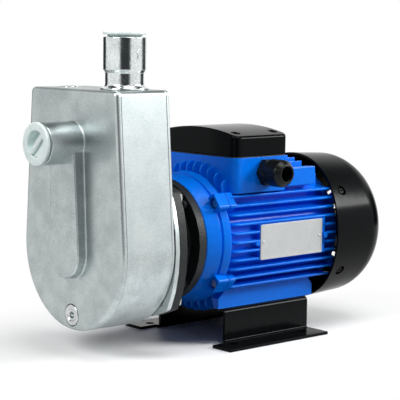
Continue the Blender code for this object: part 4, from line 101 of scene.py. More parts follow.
def arc(cx: float, cy: float, radius: float, start: float, end: float, steps: int) -> list[Point]:
    """Lay points along an arc.

    Args:
        cx: Centre, first coordinate.
        cy: Centre, second coordinate.
        radius: Radius of the arc.
        start: First angle in radians.
        end: Last angle in radians.
        steps: Number of chords.

    Returns:
        The points, both ends included.
    """
    angles = [start + (end - start) * i / steps for i in range(steps + 1)]
    return [(cx + radius * math.cos(a), cy + radius * math.sin(a)) for a in angles]


def rounded(corners: Sequence[Corner], steps: int = 6, closed: bool = True) -> list[Point]:
    """Round the corners of an outline.

    Args:
        corners: Corners as (x, y, radius); a radius of 0 keeps the corner.
        steps: Chords in each rounding.
        closed: Whether the last corner joins the first.

    Returns:
        The outline's points in order.
    """
    points: list[Point] = []
    count = len(corners)
    for i, (x, y, radius) in enumerate(corners):
        end_point = not closed and i in (0, count - 1)
        if radius <= 0 or end_point:
            points.append((x, y))
            continue
        here = Vector((x, y))
        back = (Vector(corners[i - 1][:2]) - here).normalized()
        ahead = (Vector(corners[(i + 1) % count][:2]) - here).normalized()
        half = back.angle(ahead) / 2
        centre = here + (back + ahead).normalized() * radius / math.sin(half)
        first = here + back * radius / math.tan(half) - centre
        last = here + ahead * radius / math.tan(half) - centre
        base = math.atan2(first.y, first.x)
        points += arc(centre.x, centre.y, radius, base, base - first.angle_signed(last), steps)
    return points


def polar(radius: float, degrees: float) -> Point:
    """Give (x, z) at a radius and an angle from the right-hand side."""
    a = math.radians(degrees)
    return radius * math.cos(a), radius * math.sin(a)


def mirrored(angle: float) -> list[float]:
    """Give an angle in degrees and its mirror images in the other three quarters."""
    return [angle, 180 - angle, 180 + angle, 360 - angle]


def quarter(size: float, steps: int) -> list[Point]:
    """Give a quarter round as (inset, height), from its foot at the full inset upwards."""
    turns = [math.pi / 2 * i / steps for i in range(steps + 1)]
    return [(size * (1 - math.sin(a)), size * (1 - math.cos(a))) for a in turns]


# Solids made with bmesh operators


class Solid:
    """A mesh being modelled, in millimetres on the pump's own axes."""

    def __init__(self) -> None:
        """Start with nothing."""
        self.bm = bmesh.new()

    def turned_by(self, matrix: Matrix) -> "Solid":
        """Transform every point."""
        bmesh.ops.transform(self.bm, matrix=matrix, verts=self.bm.verts)
        return self

    def lay(self, axis: Axis, centre: Sequence[float]) -> "Solid":
        """Turn the shape onto an axis and move it to its centre."""
        return self.turned_by(Matrix.Translation(centre) @ axis.turn)

    def clean(self) -> "Solid":
        """Merge coincident points and turn the faces outwards.

        Returns:
            This solid.
        """
        bmesh.ops.remove_doubles(self.bm, verts=self.bm.verts, dist=WELD)
        bmesh.ops.recalc_face_normals(self.bm, faces=self.bm.faces)
        return self

    def bevel(self, width: float, segments: int = 2, angle: float = 30.0,
              where: Callable[[Vector], bool] = lambda middle: True) -> "Solid":
        """Round the sharp edges.

        Args:
            width: Distance of the rounding from the edge.
            segments: Number of faces across it.
            angle: Least angle between faces, in degrees, that counts as sharp.
            where: Test of an edge's middle point.

        Returns:
            This solid.
        """
        limit = math.radians(angle)
        sharp = [e for e in self.bm.edges if len(e.link_faces) == 2
                 and e.calc_face_angle(0.0) > limit
                 and where((e.verts[0].co + e.verts[1].co) / 2)]
        bmesh.ops.bevel(self.bm, geom=sharp, offset=width, offset_type="OFFSET",
                        segments=segments, profile=0.5, affect="EDGES", clamp_overlap=True,
                        material=-1)
        return self

    def add(self, *others: "Solid") -> "Solid":
        """Bring other solids into this one as further shells.

        Args:
            others: The solids to take in.

        Returns:
            This solid.
        """
        for other in others:
            mesh = bpy.data.meshes.new("shell")
            other.bm.to_mesh(mesh)
            self.bm.from_mesh(mesh)
            bpy.data.meshes.remove(mesh)
        return self

    def carve(self, *others: "Solid", operation: str = "DIFFERENCE") -> "Solid":
        """Apply exact Booleans with other solids.

        Args:
            others: The solids to cut with, join or keep the overlap of.
            operation: DIFFERENCE, UNION or INTERSECT.

        Returns:
            This solid, with the result as its mesh.
        """
        target = placed("target", self.to_mesh("target"))
        spent = [target]
        for other in others:
            tool = placed("tool", other.to_mesh("tool"))
            spent.append(tool)
            mod = target.modifiers.new("carve", "BOOLEAN")
            mod.operation = operation
            mod.solver = "EXACT"
            mod.object = tool
        graph = bpy.context.evaluated_depsgraph_get()
        made = bpy.data.meshes.new_from_object(target.evaluated_get(graph), depsgraph=graph)
        for thing in spent:
            bpy.data.objects.remove(thing)
        self.bm.clear()
        self.bm.from_mesh(made)
        bpy.data.meshes.remove(made)
        return self

    def to_mesh(self, name: str) -> bpy.types.Mesh:
        """Copy the shape into a mesh data-block.

        Args:
            name: Name of the mesh.

        Returns:
            The mesh.
        """
        mesh = bpy.data.meshes.new(name)
        self.bm.to_mesh(mesh)
        return mesh


def placed(name: str, data: bpy.types.ID) -> bpy.types.Object:
    """Put a new object into the scene.

    Args:
        name: Name of the object.
        data: Its mesh, lamp or camera.

    Returns:
        The object.
    """
    made = bpy.data.objects.new(name, data)
    bpy.context.scene.collection.objects.link(made)
    return made


def lathe(profile: Sequence[Point], axis: Axis = Axis.Y, centre: Sequence[float] = (0, 0, 0),
          steps: int = 96, ring: bool = False) -> Solid:
    """Spin a profile into a solid of revolution.

    Args:
        profile: Points as (radius, height along the axis).
        axis: Direction of the axis.
        centre: A point on the axis, at height 0.
        steps: Number of sides.
        ring: Whether the profile closes on itself, away from the axis.

    Returns:
        The solid.
    """
    solid = Solid()
    verts = [solid.bm.verts.new((r, 0.0, h)) for r, h in profile]
    edges = [solid.bm.edges.new(pair) for pair in zip(verts, verts[1:])]
    if ring:
        edges.append(solid.bm.edges.new((verts[-1], verts[0])))
    bmesh.ops.spin(solid.bm, geom=verts + edges, cent=(0, 0, 0), axis=(0, 0, 1),
                   angle=2 * math.pi, steps=steps, use_merge=True, use_duplicate=False)
    return solid.clean().lay(axis, centre)


def prism(loops: Sequence[Sequence[Point]], low: float, high: float, axis: Axis = Axis.Z,
          centre: Sequence[float] = (0, 0, 0)) -> Solid:
    """Extrude a flat outline, with holes where further loops are given.

    Args:
        loops: The outer outline, then any holes. Along Z a point is (x, y).
        low: Start along the axis.
        high: End along the axis.
        axis: Direction of the extrusion. Along Y a point is (x, z), along X it is (y, z).
        centre: Where height 0 lies.

    Returns:
        The solid.
    """
    solid = Solid()
    edges = []
    for loop in loops:
        verts = [solid.bm.verts.new((x, y, 0.0)) for x, y in loop]
        edges += [solid.bm.edges.new((verts[i - 1], verts[i])) for i in range(len(verts))]
    if len(loops) == 1:
        bmesh.ops.contextual_create(solid.bm, geom=edges)
    else:
        bmesh.ops.triangle_fill(solid.bm, use_beauty=True, edges=edges)
    made = bmesh.ops.extrude_face_region(solid.bm, geom=solid.bm.faces[:], use_keep_orig=True)
    raised = [g for g in made["geom"] if isinstance(g, bmesh.types.BMVert)]
    bmesh.ops.translate(solid.bm, verts=raised, vec=(0, 0, high - low))
    bmesh.ops.translate(solid.bm, verts=solid.bm.verts, vec=(0, 0, low))
    bmesh.ops.recalc_face_normals(solid.bm, faces=solid.bm.faces)
    lay = {
        Axis.Z: Matrix.Identity(4),
        Axis.Y: Matrix(((1, 0, 0, 0), (0, 0, 1, 0), (0, 1, 0, 0), (0, 0, 0, 1))),
        Axis.X: Matrix(((0, 0, 1, 0), (1, 0, 0, 0), (0, 1, 0, 0), (0, 0, 0, 1))),
    }[axis]
    solid.turned_by(Matrix.Translation(centre) @ lay)
    bmesh.ops.recalc_face_normals(solid.bm, faces=solid.bm.faces)
    return solid


def loft(rings: Sequence[Sequence[Sequence[float]]], crowned: bool = False) -> Solid:
    """Bridge rings of equal point count into a closed solid.

    Args:
        rings: Closed rings of points in space, in order.
        crowned: Whether strips across the last ring close it, in place of a flat end.

    Returns:
        The solid.
    """
    solid = Solid()
    loops = []
    for ring in rings:
        verts = [solid.bm.verts.new(p) for p in ring]
        loops.append([solid.bm.edges.new((verts[i - 1], verts[i])) for i in range(len(verts))])
    for first, second in zip(loops, loops[1:]):
        bmesh.ops.bridge_loops(solid.bm, edges=first + second)
    bmesh.ops.contextual_create(solid.bm, geom=loops[0])
    if crowned:
        half = len(loops[-1]) // 2
        bmesh.ops.bridge_loops(solid.bm, edges=loops[-1][1:half] + loops[-1][half + 1:])
    else:
        bmesh.ops.contextual_create(solid.bm, geom=loops[-1])
    bmesh.ops.recalc_face_normals(solid.bm, faces=solid.bm.faces)
    return solid


def slab(low: Sequence[float], high: Sequence[float]) -> Solid:
    """Make a block between two corners, to be rounded or cut further.

    Args:
        low: Corner with the least coordinates.
        high: Corner with the greatest.

    Returns:
        The block.
    """
    solid = Solid()
    bmesh.ops.create_cube(solid.bm, size=1.0)
    size = Vector(high) - Vector(low)
    bmesh.ops.scale(solid.bm, vec=size, verts=solid.bm.verts)
    bmesh.ops.translate(solid.bm, vec=(Vector(high) + Vector(low)) / 2, verts=solid.bm.verts)
    return solid


def rod(radius: float, low: float, high: float, axis: Axis = Axis.Y,
        centre: Sequence[float] = (0, 0, 0), steps: int = 48) -> Solid:
    """Make a round or many-sided bar, to be rounded or used for cutting.

    Args:
        radius: Radius over the corners.
        low: Start along the axis.
        high: End along the axis.
        axis: Direction of the bar.
        centre: A point on the axis, at height 0.
        steps: Number of sides.

    Returns:
        The bar.
    """
    solid = Solid()
    bmesh.ops.create_cone(solid.bm, cap_ends=True, segments=steps, radius1=radius,
                          radius2=radius, depth=high - low)
    bmesh.ops.translate(solid.bm, verts=solid.bm.verts, vec=(0, 0, (high + low) / 2))
    return solid.lay(axis, centre)


def copy_of(node: str, width: float, segments: int, angle: float = 35.0) -> Solid:
    """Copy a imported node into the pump's own millimetres, with its edges rounded.

    Args:
        node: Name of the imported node.
        width: Distance of the rounding from the edge.
        segments: Faces across the rounding.
        angle: Least angle that counts as an edge, in degrees.

    Returns:
        The copy.
    """
    solid = Solid()
    solid.bm.from_mesh(frame["nodes"][node].data)
    solid.turned_by(ORIGIN_INVERSE)
    bmesh.ops.remove_doubles(solid.bm, verts=solid.bm.verts, dist=CAD_WELD)
    bmesh.ops.dissolve_limit(solid.bm, angle_limit=math.radians(CAD_FLAT),
                             verts=solid.bm.verts, edges=solid.bm.edges)
    return solid.bevel(width, segments, angle)


# Finishes


def linear(hex_colour: str) -> tuple[float, float, float, float]:
    """Turn an sRGB hex colour into linear red, green, blue and alpha."""
    channels = [int(hex_colour[i:i + 2], 16) / 255 for i in (1, 3, 5)]
    return (*(c / 12.92 if c <= 0.04045 else ((c + 0.055) / 1.055) ** 2.4 for c in channels), 1.0)


def put(tree: bpy.types.NodeTree, kind: str, settings: dict | None = None,
        **links) -> bpy.types.Node:
    """Add one shader node.

    Args:
        tree: The node tree.
        kind: Node type.
        settings: Properties of the node.
        links: Socket values by name, with _ for a space, or by i and the socket's number.
            An output socket is linked, and so is the first output of a node.

    Returns:
        The new node.
    """
    made = tree.nodes.new(kind)
    for key, value in (settings or {}).items():
        setattr(made, key, value)
    for key, value in links.items():
        numbered = key[0] == "i" and key[1:].isdigit()
        socket = made.inputs[int(key[1:]) if numbered else key.replace("_", " ")]
        if isinstance(value, bpy.types.Node):
            value = value.outputs[0]
        if isinstance(value, bpy.types.NodeSocket):
            tree.links.new(value, socket)
        else:
            socket.default_value = value
    return made


class Grain(Enum):
    """How a surface was made, which decides its pattern."""

    BLASTED = "blasted"
    POLISHED = "polished"
    CAST = "cast"
    TURNED = "turned"
    PAINTED = "painted"
    MOULDED = "moulded"
    WOUND = "wound"


CLOUD_GRAINS = 14               # a cloud of second colour is this many grains across
CLOUD_EDGES = (0.35, 0.65)      # noise values between which a cloud fades in
GRAIN_EDGES = (0.3, 0.7)        # the same for the grain
GRAIN_SHARE = 0.5               # how far the grain leans the colour to the second one
CLOUD_SHARE = 0.4               # how far the clouds do
BUMP = 0.6                      # strength of the relief
CELL_SIZE = 0.8                 # a cast skin's cells to the grain, in waves to a wave
CELL_SHARE, SAND_SHARE = 0.5, 0.6   # cells and sand in the height of a cast skin
TURNED_STRETCH = (1.0, 14.0, 1.0)   # turning lines lie round the shaft's axis
WOUND_STRETCH = (1.0, 1.0, 6.0)     # wires and brush lines lie level
LINE_WAVES = 0.35               # waves to a grain along such lines
NOISE_DETAIL = {Grain.POLISHED: 2.0, Grain.PAINTED: 1.0}
ROUGH_DETAIL = 5.0              # the same for blasted and moulded skins


@dataclass(frozen=True)
class Finish:
    """One surface finish, made into a material on demand.

    A finish has a body colour and a second colour that patches of the pattern lean to.
    """

    name: str
    colour: str
    shade: str
    grain: Grain
    grain_mm: float
    relief_mm: float
    roughness: float
    spread: float = 0.06
    metallic: float = 0.0
    ior: float = 1.5
    specular: float = 0.5
    glow_mm: float = 0.0

    def material(self) -> bpy.types.Material:
        """Build the material once, and give the same one after that."""
        known = bpy.data.materials.get(self.name)
        return known if known else self.build()

    def build(self) -> bpy.types.Material:
        """Build the node tree.

        Returns:
            The material.
        """
        mat = bpy.data.materials.new(self.name)
        mat.use_nodes = True
        tree = mat.node_tree
        shader = tree.nodes["Principled BSDF"]
        place = put(tree, "ShaderNodeTexCoord").outputs["Object"]
        fine = self.pattern(tree, place)
        cloud = put(tree, "ShaderNodeTexNoise", Vector=place, Detail=4.0, Roughness=0.6,
                    Scale=1000 / (self.grain_mm * CLOUD_GRAINS)).outputs["Fac"]
        soft = put(tree, "ShaderNodeMapRange", Value=cloud, From_Min=CLOUD_EDGES[0],
                   From_Max=CLOUD_EDGES[1])
        strong = put(tree, "ShaderNodeMapRange", Value=fine, From_Min=GRAIN_EDGES[0],
                     From_Max=GRAIN_EDGES[1])
        clouds = put(tree, "ShaderNodeMath", {"operation": "MULTIPLY"}, i0=soft, i1=CLOUD_SHARE)
        blend = put(tree, "ShaderNodeMath", {"operation": "MULTIPLY_ADD"}, i0=strong,
                    i1=GRAIN_SHARE, i2=clouds)
        colour = put(tree, "ShaderNodeMix", {"data_type": "RGBA"}, Factor=blend,
                     i6=linear(self.colour), i7=linear(self.shade))
        rough = put(tree, "ShaderNodeMapRange", Value=blend,
                    To_Min=self.roughness - self.spread / 2,
                    To_Max=self.roughness + self.spread / 2)
        tree.links.new(colour.outputs[2], shader.inputs["Base Color"])
        tree.links.new(rough.outputs[0], shader.inputs["Roughness"])
        if self.relief_mm > 0:
            bump = put(tree, "ShaderNodeBump", Strength=BUMP, Distance=self.relief_mm / 1000,
                       Height=fine)
            tree.links.new(bump.outputs[0], shader.inputs["Normal"])
        shader.inputs["Metallic"].default_value = self.metallic
        if self.glow_mm > 0:
            shader.inputs["Subsurface Weight"].default_value = 0.7
            shader.inputs["Subsurface Radius"].default_value = (1.0, 1.0, 1.0)
            shader.inputs["Subsurface Scale"].default_value = self.glow_mm / 1000
        if self.metallic < 0.5:
            shader.inputs["IOR"].default_value = self.ior
            shader.inputs["Specular IOR Level"].default_value = self.specular
        mat.diffuse_color = linear(self.colour)
        return mat

    def pattern(self, tree: bpy.types.NodeTree, place: bpy.types.NodeSocket) -> bpy.types.NodeSocket:
        """Add the nodes of the surface's own grain.

        Args:
            tree: The node tree.
            place: The Object coordinates.

        Returns:
            A socket from 0 to 1.
        """
        per_metre = 1000 / self.grain_mm
        if self.grain is Grain.CAST:
            cells = put(tree, "ShaderNodeTexVoronoi", Vector=place, Scale=per_metre * CELL_SIZE)
            sand = put(tree, "ShaderNodeTexNoise", Vector=place, Scale=per_metre, Detail=6.0)
            strewn = put(tree, "ShaderNodeMath", {"operation": "MULTIPLY"},
                         i0=sand.outputs["Fac"], i1=SAND_SHARE)
            return put(tree, "ShaderNodeMath", {"operation": "MULTIPLY_ADD"},
                       i0=cells.outputs["Distance"], i1=CELL_SHARE, i2=strewn).outputs[0]
        if self.grain in (Grain.TURNED, Grain.WOUND):
            stretch = TURNED_STRETCH if self.grain is Grain.TURNED else WOUND_STRETCH
            lines = put(tree, "ShaderNodeMapping", Vector=place, Scale=stretch)
            return put(tree, "ShaderNodeTexNoise", Vector=lines, Scale=per_metre * LINE_WAVES,
                       Detail=3.0).outputs["Fac"]
        detail = NOISE_DETAIL.get(self.grain, ROUGH_DETAIL)
        return put(tree, "ShaderNodeTexNoise", Vector=place, Scale=per_metre,
                   Detail=detail).outputs["Fac"]


# Bead marks, turning and brush lines and sand are finer than the picture can show, so their
# grain_mm is as coarse as it needs to be to show

# Stainless 304 sheet, glass-bead blasted: a mottled satin grey with no clear reflections
BLASTED_STEEL = Finish("blasted_stainless_sheet", "#c6cdcd", "#99a2a3", Grain.BLASTED, 1.4, 0.04,
                       0.36, 0.12, 1.0)
# The same sheet buffed to a mirror round the sides: sharp reflections, faint waves
MIRROR_STEEL = Finish("buffed_stainless_sheet", "#e6eaea", "#d3d9da", Grain.POLISHED, 26.0, 0.05,
                      0.09, 0.05, 1.0)
# Investment-cast stainless ports, tumbled: bright with a lumpy, blotched skin
CAST_STEEL = Finish("tumbled_stainless_casting", "#f2f6f6", "#c4cbcc", Grain.CAST, 1.3, 0.09,
                    0.17, 0.12, 1.0)
# Turned stainless of plugs, nut and spring: an even grey with faint turning lines
TURNED_STEEL = Finish("turned_stainless_bar", "#d2d5d4", "#bfc3c3", Grain.TURNED, 1.2, 0.01,
                      0.24, 0.08, 1.0)
# Grey iron casting under matt black paint: rough sand skin that glitters in grazing light
BLACK_IRON = Finish("black_painted_sand_casting", "#0c0f10", "#1d2223", Grain.CAST, 1.9, 0.5,
                    0.5, 0.2, specular=0.3)
# Machined iron rim left with a thin protective film, its lighter tone partly a painted highlight on the
# ring: a dull brownish shine
MACHINED_IRON_AND_HIGHLIGHT = Finish("machined_rim_and_painted_highlight", "#6d6660", "#5a534d", Grain.TURNED, 1.5, 0.03,
                       0.38, 0.1, 0.9)
# Die-cast aluminium in bright blue stove enamel: glossy, with slight orange peel
BLUE_ENAMEL = Finish("blue_stove_enamel", "#007bfa", "#0072ea", Grain.PAINTED, 5.0, 0.05,
                     0.24, 0.05, specular=0.14)
# Pressed steel in gloss black enamel: deep black with sharp highlights
BLACK_ENAMEL = Finish("black_gloss_enamel", "#050708", "#090c0d", Grain.PAINTED, 7.0, 0.04,
                      0.17, 0.05, specular=0.06)
# Moulded black nylon of the cable gland and fan: satin, with soft highlights
BLACK_NYLON = Finish("black_moulded_nylon", "#0d0f10", "#17191a", Grain.MOULDED, 1.0, 0.03,
                     0.3, 0.08, specular=0.18)
# Grey elastomer of the gland's sealing ring, its grey partly a painted highlight inside the gland's
# mouth: flat grey with hardly a highlight of its own
GREY_SEAL_AND_HIGHLIGHT = Finish("grey_seal_and_painted_highlight", "#6b7073", "#5c6164", Grain.MOULDED, 1.0, 0.03,
                   0.5, 0.08)
# Natural polyethylene transit plugs: milky and slightly waxy
WHITE_POLYTHENE = Finish("natural_polythene", "#effaf7", "#dff1ed", Grain.MOULDED, 3.0, 0.03,
                         0.38, 0.08, ior=1.51, glow_mm=4.0)
# Nitrile rubber of flap, seals and slinger: nearly black and matt
BLACK_RUBBER = Finish("nitrile_rubber", "#1a1a1b", "#232324", Grain.MOULDED, 1.2, 0.05,
                      0.62, 0.1, ior=1.52)
# Zinc-plated fasteners: a pale, slightly cloudy silver
ZINC_PLATE = Finish("zinc_plated_steel", "#c4c6c1", "#b0b3ad", Grain.BLASTED, 2.0, 0.01,
                    0.3, 0.12, 1.0)
# Rolled aluminium of the bare plate, brushed lengthways: pale satin with fine streaks
BRUSHED_ALUMINIUM = Finish("brushed_aluminium_sheet", "#c6c8c8", "#b4b7b8", Grain.WOUND, 0.8, 0.01,
                           0.36, 0.08, 1.0)
# Enamelled copper wire under amber varnish: red-brown, striped by the wires
COPPER_WIRE = Finish("varnished_copper_wire", "#b0623a", "#8a4526", Grain.WOUND, 1.0, 0.3,
                     0.34, 0.1, 0.85)
# Ground carbon steel of shaft, bearings and laminations: a darker grey with a soft shine
GROUND_STEEL = Finish("ground_carbon_steel", "#8d9093", "#7c7f82", Grain.TURNED, 1.0, 0.01,
                      0.28, 0.1, 1.0)
# Lapped alumina of the seal seat: smooth creamy white
WHITE_CERAMIC = Finish("lapped_alumina", "#ece8df", "#e2ddd2", Grain.MOULDED, 2.0, 0.0,
                       0.22, 0.05)
# Phenolic moulding of the terminal board: chestnut brown with a dull shine
BROWN_PHENOLIC = Finish("brown_phenolic_moulding", "#5c3c26", "#4a2f1e", Grain.MOULDED, 1.5, 0.02,
                        0.42, 0.1)


def finish_piece(name: str, solid: Solid, finishes: Finish | Sequence[Finish], body: str,
                 replaced: Sequence[str], smooth: float = 32.0,
                 choose: Callable[[bmesh.types.BMFace], int] | None = None) -> None:
    """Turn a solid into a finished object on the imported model's axes.

    Args:
        name: Name of the piece.
        solid: Its shape in millimetres.
        finishes: One finish, or several for choose to pick from.
        body: The body that it rides on.
        replaced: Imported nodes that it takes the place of.
        smooth: Angle in degrees under which neighbouring faces shade smoothly.
        choose: Gives a face the number of its finish.
    """
    wanted = [finishes] if isinstance(finishes, Finish) else list(finishes)
    if choose:
        for face in solid.bm.faces:
            face.material_index = choose(face)
    solid.turned_by(Matrix.Translation(ORIGIN) @ Matrix.Scale(0.001, 4))
    mesh = solid.to_mesh(name)
    solid.bm.free()
    mesh.materials.clear()
    for finish in wanted:
        mesh.materials.append(finish.material())
    piece = placed(name, mesh)
    mesh.shade_smooth()
    mesh.set_sharp_from_angle(angle=math.radians(smooth))
    even = piece.modifiers.new("even_normals", "WEIGHTED_NORMAL")
    even.keep_sharp = True
    even.weight = EVEN_WEIGHT
    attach(piece, body)
    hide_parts(*replaced)
    LOG.info("%s: %d faces", name, len(mesh.polygons))


def dress(nodes: dict[str, Finish]) -> None:
    """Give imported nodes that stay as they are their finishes.

    Args:
        nodes: A finish for each node's name.
    """
    for name, finish in nodes.items():
        mesh = frame["nodes"][name].data
        mesh.materials.clear()
        mesh.materials.append(finish.material())
        LOG.info("%s: dressed in %s", name, finish.name)


# Pump end


@dataclass
class PumpCasing:
    """Casing with its raised suction channel and nozzle, and its back plate."""

    arc_r: float = 76.0
    top_half: float = 65.2
    top_z: float = 147.4
    depth: float = 60.4
    wall: float = 3.0
    corner: float = 5.0
    edge: float = 4.0
    seam: float = 0.45
    suction_z: float = 98.5
    bore_r: float = 14.8
    nozzle_r: float = 19.4
    nozzle_length: float = 35.6
    channel_high_r: float = 17.4
    channel_low_r: float = 22.3
    channel_low_z: float = -4.0
    channel_rise_top: float = 11.6
    channel_rise_low: float = 9.5
    fillet: float = 1.6
    crown: float = 2.2
    channel_sink: float = 0.05
    nozzle_sink: float = 0.1
    drain_z: float = -61.5
    priming: Point = (-45.0, 31.5)
    discharge: Point = (37.5, 31.5)
    plug_r: float = 10.0
    thread_r: float = 7.5
    seat_depth: float = 3.6
    drilled: float = 20.0
    rear_opening: float = 56.0

    def outline(self, inset: float) -> list[Point]:
        """Give the casing's outline in (x, z).

        Args:
            inset: How far it is moved inwards.

        Returns:
            The closed outline.
        """
        span = math.hypot(self.top_half, self.top_z)
        tangent = math.atan2(self.top_z, self.top_half) - math.acos(self.arc_r / span)
        side_x, side_z = self.arc_r * math.cos(tangent), self.arc_r * math.sin(tangent)
        slope = (side_x - self.top_half) / (self.top_z - side_z)
        top_x = self.top_half + inset * slope - inset * math.hypot(1, slope)
        top_z = self.top_z - inset
        corner = max(self.corner - inset, 0.8)
        lower = arc(0, 0, self.arc_r - inset, tangent, -math.pi - tangent, 72)
        corners = [(x, z, 0.0) for x, z in lower]
        corners += [(-top_x, top_z, corner), (top_x, top_z, corner)]
        return rounded(corners, 8)

    def channel(self, inset: float) -> list[Point]:
        """Give the suction channel's outline in (x, z), an egg round two centres.

        Args:
            inset: How far it is moved inwards.

        Returns:
            The closed outline.
        """
        low, high = self.channel_low_r - inset, self.channel_high_r - inset
        lean = math.asin((low - high) / (self.suction_z - self.channel_low_z))
        upper = arc(0, self.suction_z, high, lean, math.pi - lean, 32)
        lower = arc(0, self.channel_low_z, low, math.pi - lean, 2 * math.pi + lean, 32)
        return upper + lower

    def shell(self) -> Solid:
        """Loft the outer body, with its rounded front edge and thin seams.

        Returns:
            The body, filled.
        """
        rings = quarter(self.edge, 8)
        for middle in (self.edge + 1.2, self.depth - 3.4):
            rings += [(0.0, middle - 0.5), (self.seam, middle - 0.1), (self.seam, middle + 0.1),
                      (0.0, middle + 0.5)]
        rings += [(0.0, self.depth - 1.0), (0.3, self.depth - 0.3), (1.0, self.depth)]
        return loft([[(x, y, z) for x, z in self.outline(inset)] for inset, y in rings])

    def raised_channel(self) -> Solid:
        """Loft the channel, with a fillet at its foot and a soft upper edge.

        Returns:
            The channel, filled.
        """
        low_edge = self.channel_low_z - self.channel_low_r
        run = self.suction_z - low_edge
        foot = [(-self.fillet, -0.9)]
        foot += [(-inset, height - self.channel_sink) for inset, height in quarter(self.fillet, 6)]
        edge = [(height, -inset) for inset, height in quarter(self.crown, 6)]
        made = []
        for i, (inset, height) in enumerate(foot + edge):
            ring = []
            for x, z in self.channel(inset):
                share = min(max((z - low_edge) / run, 0.0), 1.0)
                rise = self.channel_rise_low + (self.channel_rise_top - self.channel_rise_low) * share
                ring.append((x, -(height if i < len(foot) else rise + height), z))
            made.append(ring)
        return loft(made)

    def nozzle(self) -> Solid:
        """Spin the suction nozzle, with a fillet where it meets the face.

        Returns:
            The nozzle, filled.
        """
        radius, length = self.nozzle_r, self.nozzle_length
        foot = [(radius + inset, height - self.nozzle_sink)
                for inset, height in quarter(self.fillet, 6)]
        rim = rounded([(radius, length / 2, 0), (radius, length, 1.0), (0.0, length, 0)], 4, False)
        return lathe([(0.0, -0.4), (radius + self.fillet, -0.4)] + foot + rim, Axis.MINUS_Y,
                     (0, 0, self.suction_z))

    def seat(self, axis: Axis, centre: Sequence[float]) -> Solid:
        """Make the cutter for a socket plug's seat and thread.

        Args:
            axis: Direction out of the casing.
            centre: Where the plug's line meets the casing's outside.

        Returns:
            The cutter.
        """
        bore = self.thread_r + CLEAR
        steps = [(0.0, 4.0), (self.plug_r + 0.9, 4.0), (self.plug_r + 0.5, -self.seat_depth),
                 (bore, -self.seat_depth), (bore, -self.drilled), (0.0, -self.drilled)]
        return lathe(steps, axis, centre, 64)

    def build(self) -> None:
        """Model the casing and its back plate, and dress them."""
        casing = self.shell()
        casing.carve(self.raised_channel(), self.nozzle(), operation="UNION")
        inner = prism([self.outline(self.wall)], self.wall, self.depth - self.wall, Axis.Y)
        mouth = self.nozzle_length
        bore = lathe([(0.0, mouth + 1), (self.bore_r + 1.8, mouth + 1), (self.bore_r, mouth - 0.8),
                      (self.bore_r, -self.wall - 1), (0.0, -self.wall - 1)], Axis.MINUS_Y,
                     (0, 0, self.suction_z), 64)
        outlet = rod(self.bore_r, self.top_z - 9, self.top_z + 3, Axis.Z, (*self.discharge, 0), 64)
        rear = rod(self.rear_opening, self.depth - 6, self.depth + 3, Axis.Y, steps=128)
        drain = self.seat(Axis.MINUS_Y, (0, 0, self.drain_z))
        priming = self.seat(Axis.Z, (*self.priming, self.top_z))
        casing.carve(inner, bore, outlet, rear, drain, priming)
        finish_piece("casing_shell", casing, (BLASTED_STEEL, MIRROR_STEEL), "pump",
                     ["pump_casing"], 28.0, self.buffed)
        plate = copy_of("casing_back_plate", 0.7, 3)
        finish_piece("rear_flange", plate, (BLASTED_STEEL, MIRROR_STEEL), "pump",
                     ["casing_back_plate"],
                     choose=lambda face: 0 if abs(face.normal.y) > 0.7 else 1)

    def buffed(self, face: bmesh.types.BMFace) -> int:
        """Say whether a face belongs to the mirror-buffed sides."""
        middle = face.calc_center_median()
        return 1 if middle.y > self.edge * 0.3 else 0


@dataclass
class DischargeNozzle:
    """Cast port on the casing's top plate, with a raised flow arrow."""

    centre: Point = PumpCasing.discharge
    base_z: float = 147.7
    height: float = 47.2
    neck_r: float = 17.7
    socket_r: float = 19.5
    bore_r: float = PumpCasing.bore_r
    step_z: float = 165.6
    flare: float = 4.5
    lip: float = 1.4
    arrow_z: float = 180.0

    def arrow(self) -> Solid:
        """Extrude the plain upward arrow that stands proud of the port.

        Returns:
            The arrow.
        """
        stem, head, low, neck, tip = 0.75, 2.2, -4.4, 0.6, 4.6
        outline = [(-stem, low), (stem, low), (stem, neck), (head, neck), (0.0, tip),
                   (-head, neck), (-stem, neck)]
        raised = prism([outline], self.socket_r - 1.0, self.socket_r + 0.55, Axis.X,
                       (*self.centre, self.arrow_z))
        return raised.bevel(0.18, 2)

    def build(self) -> None:
        """Model the port and dress it."""
        top = self.base_z + self.height
        foot_r = self.neck_r + self.flare
        profile = rounded([
            (self.bore_r, self.base_z, 0), (foot_r, self.base_z, 0.5),
            (foot_r, self.base_z + self.lip, 0.6),
            (self.neck_r, self.base_z + self.lip + 1.2, 3.4),
            (self.neck_r, self.step_z - 3.0, 1.6), (self.socket_r, self.step_z, 1.2),
            (self.socket_r, top, 0.9), (self.bore_r + 0.9, top, 0.3), (self.bore_r, top - 0.9, 0)],
            6)
        port = lathe(profile, Axis.Z, (*self.centre, 0), 96, ring=True)
        port.add(self.arrow())
        finish_piece("discharge_port", port, CAST_STEEL, "pump",
                     ["discharge_nozzle"])


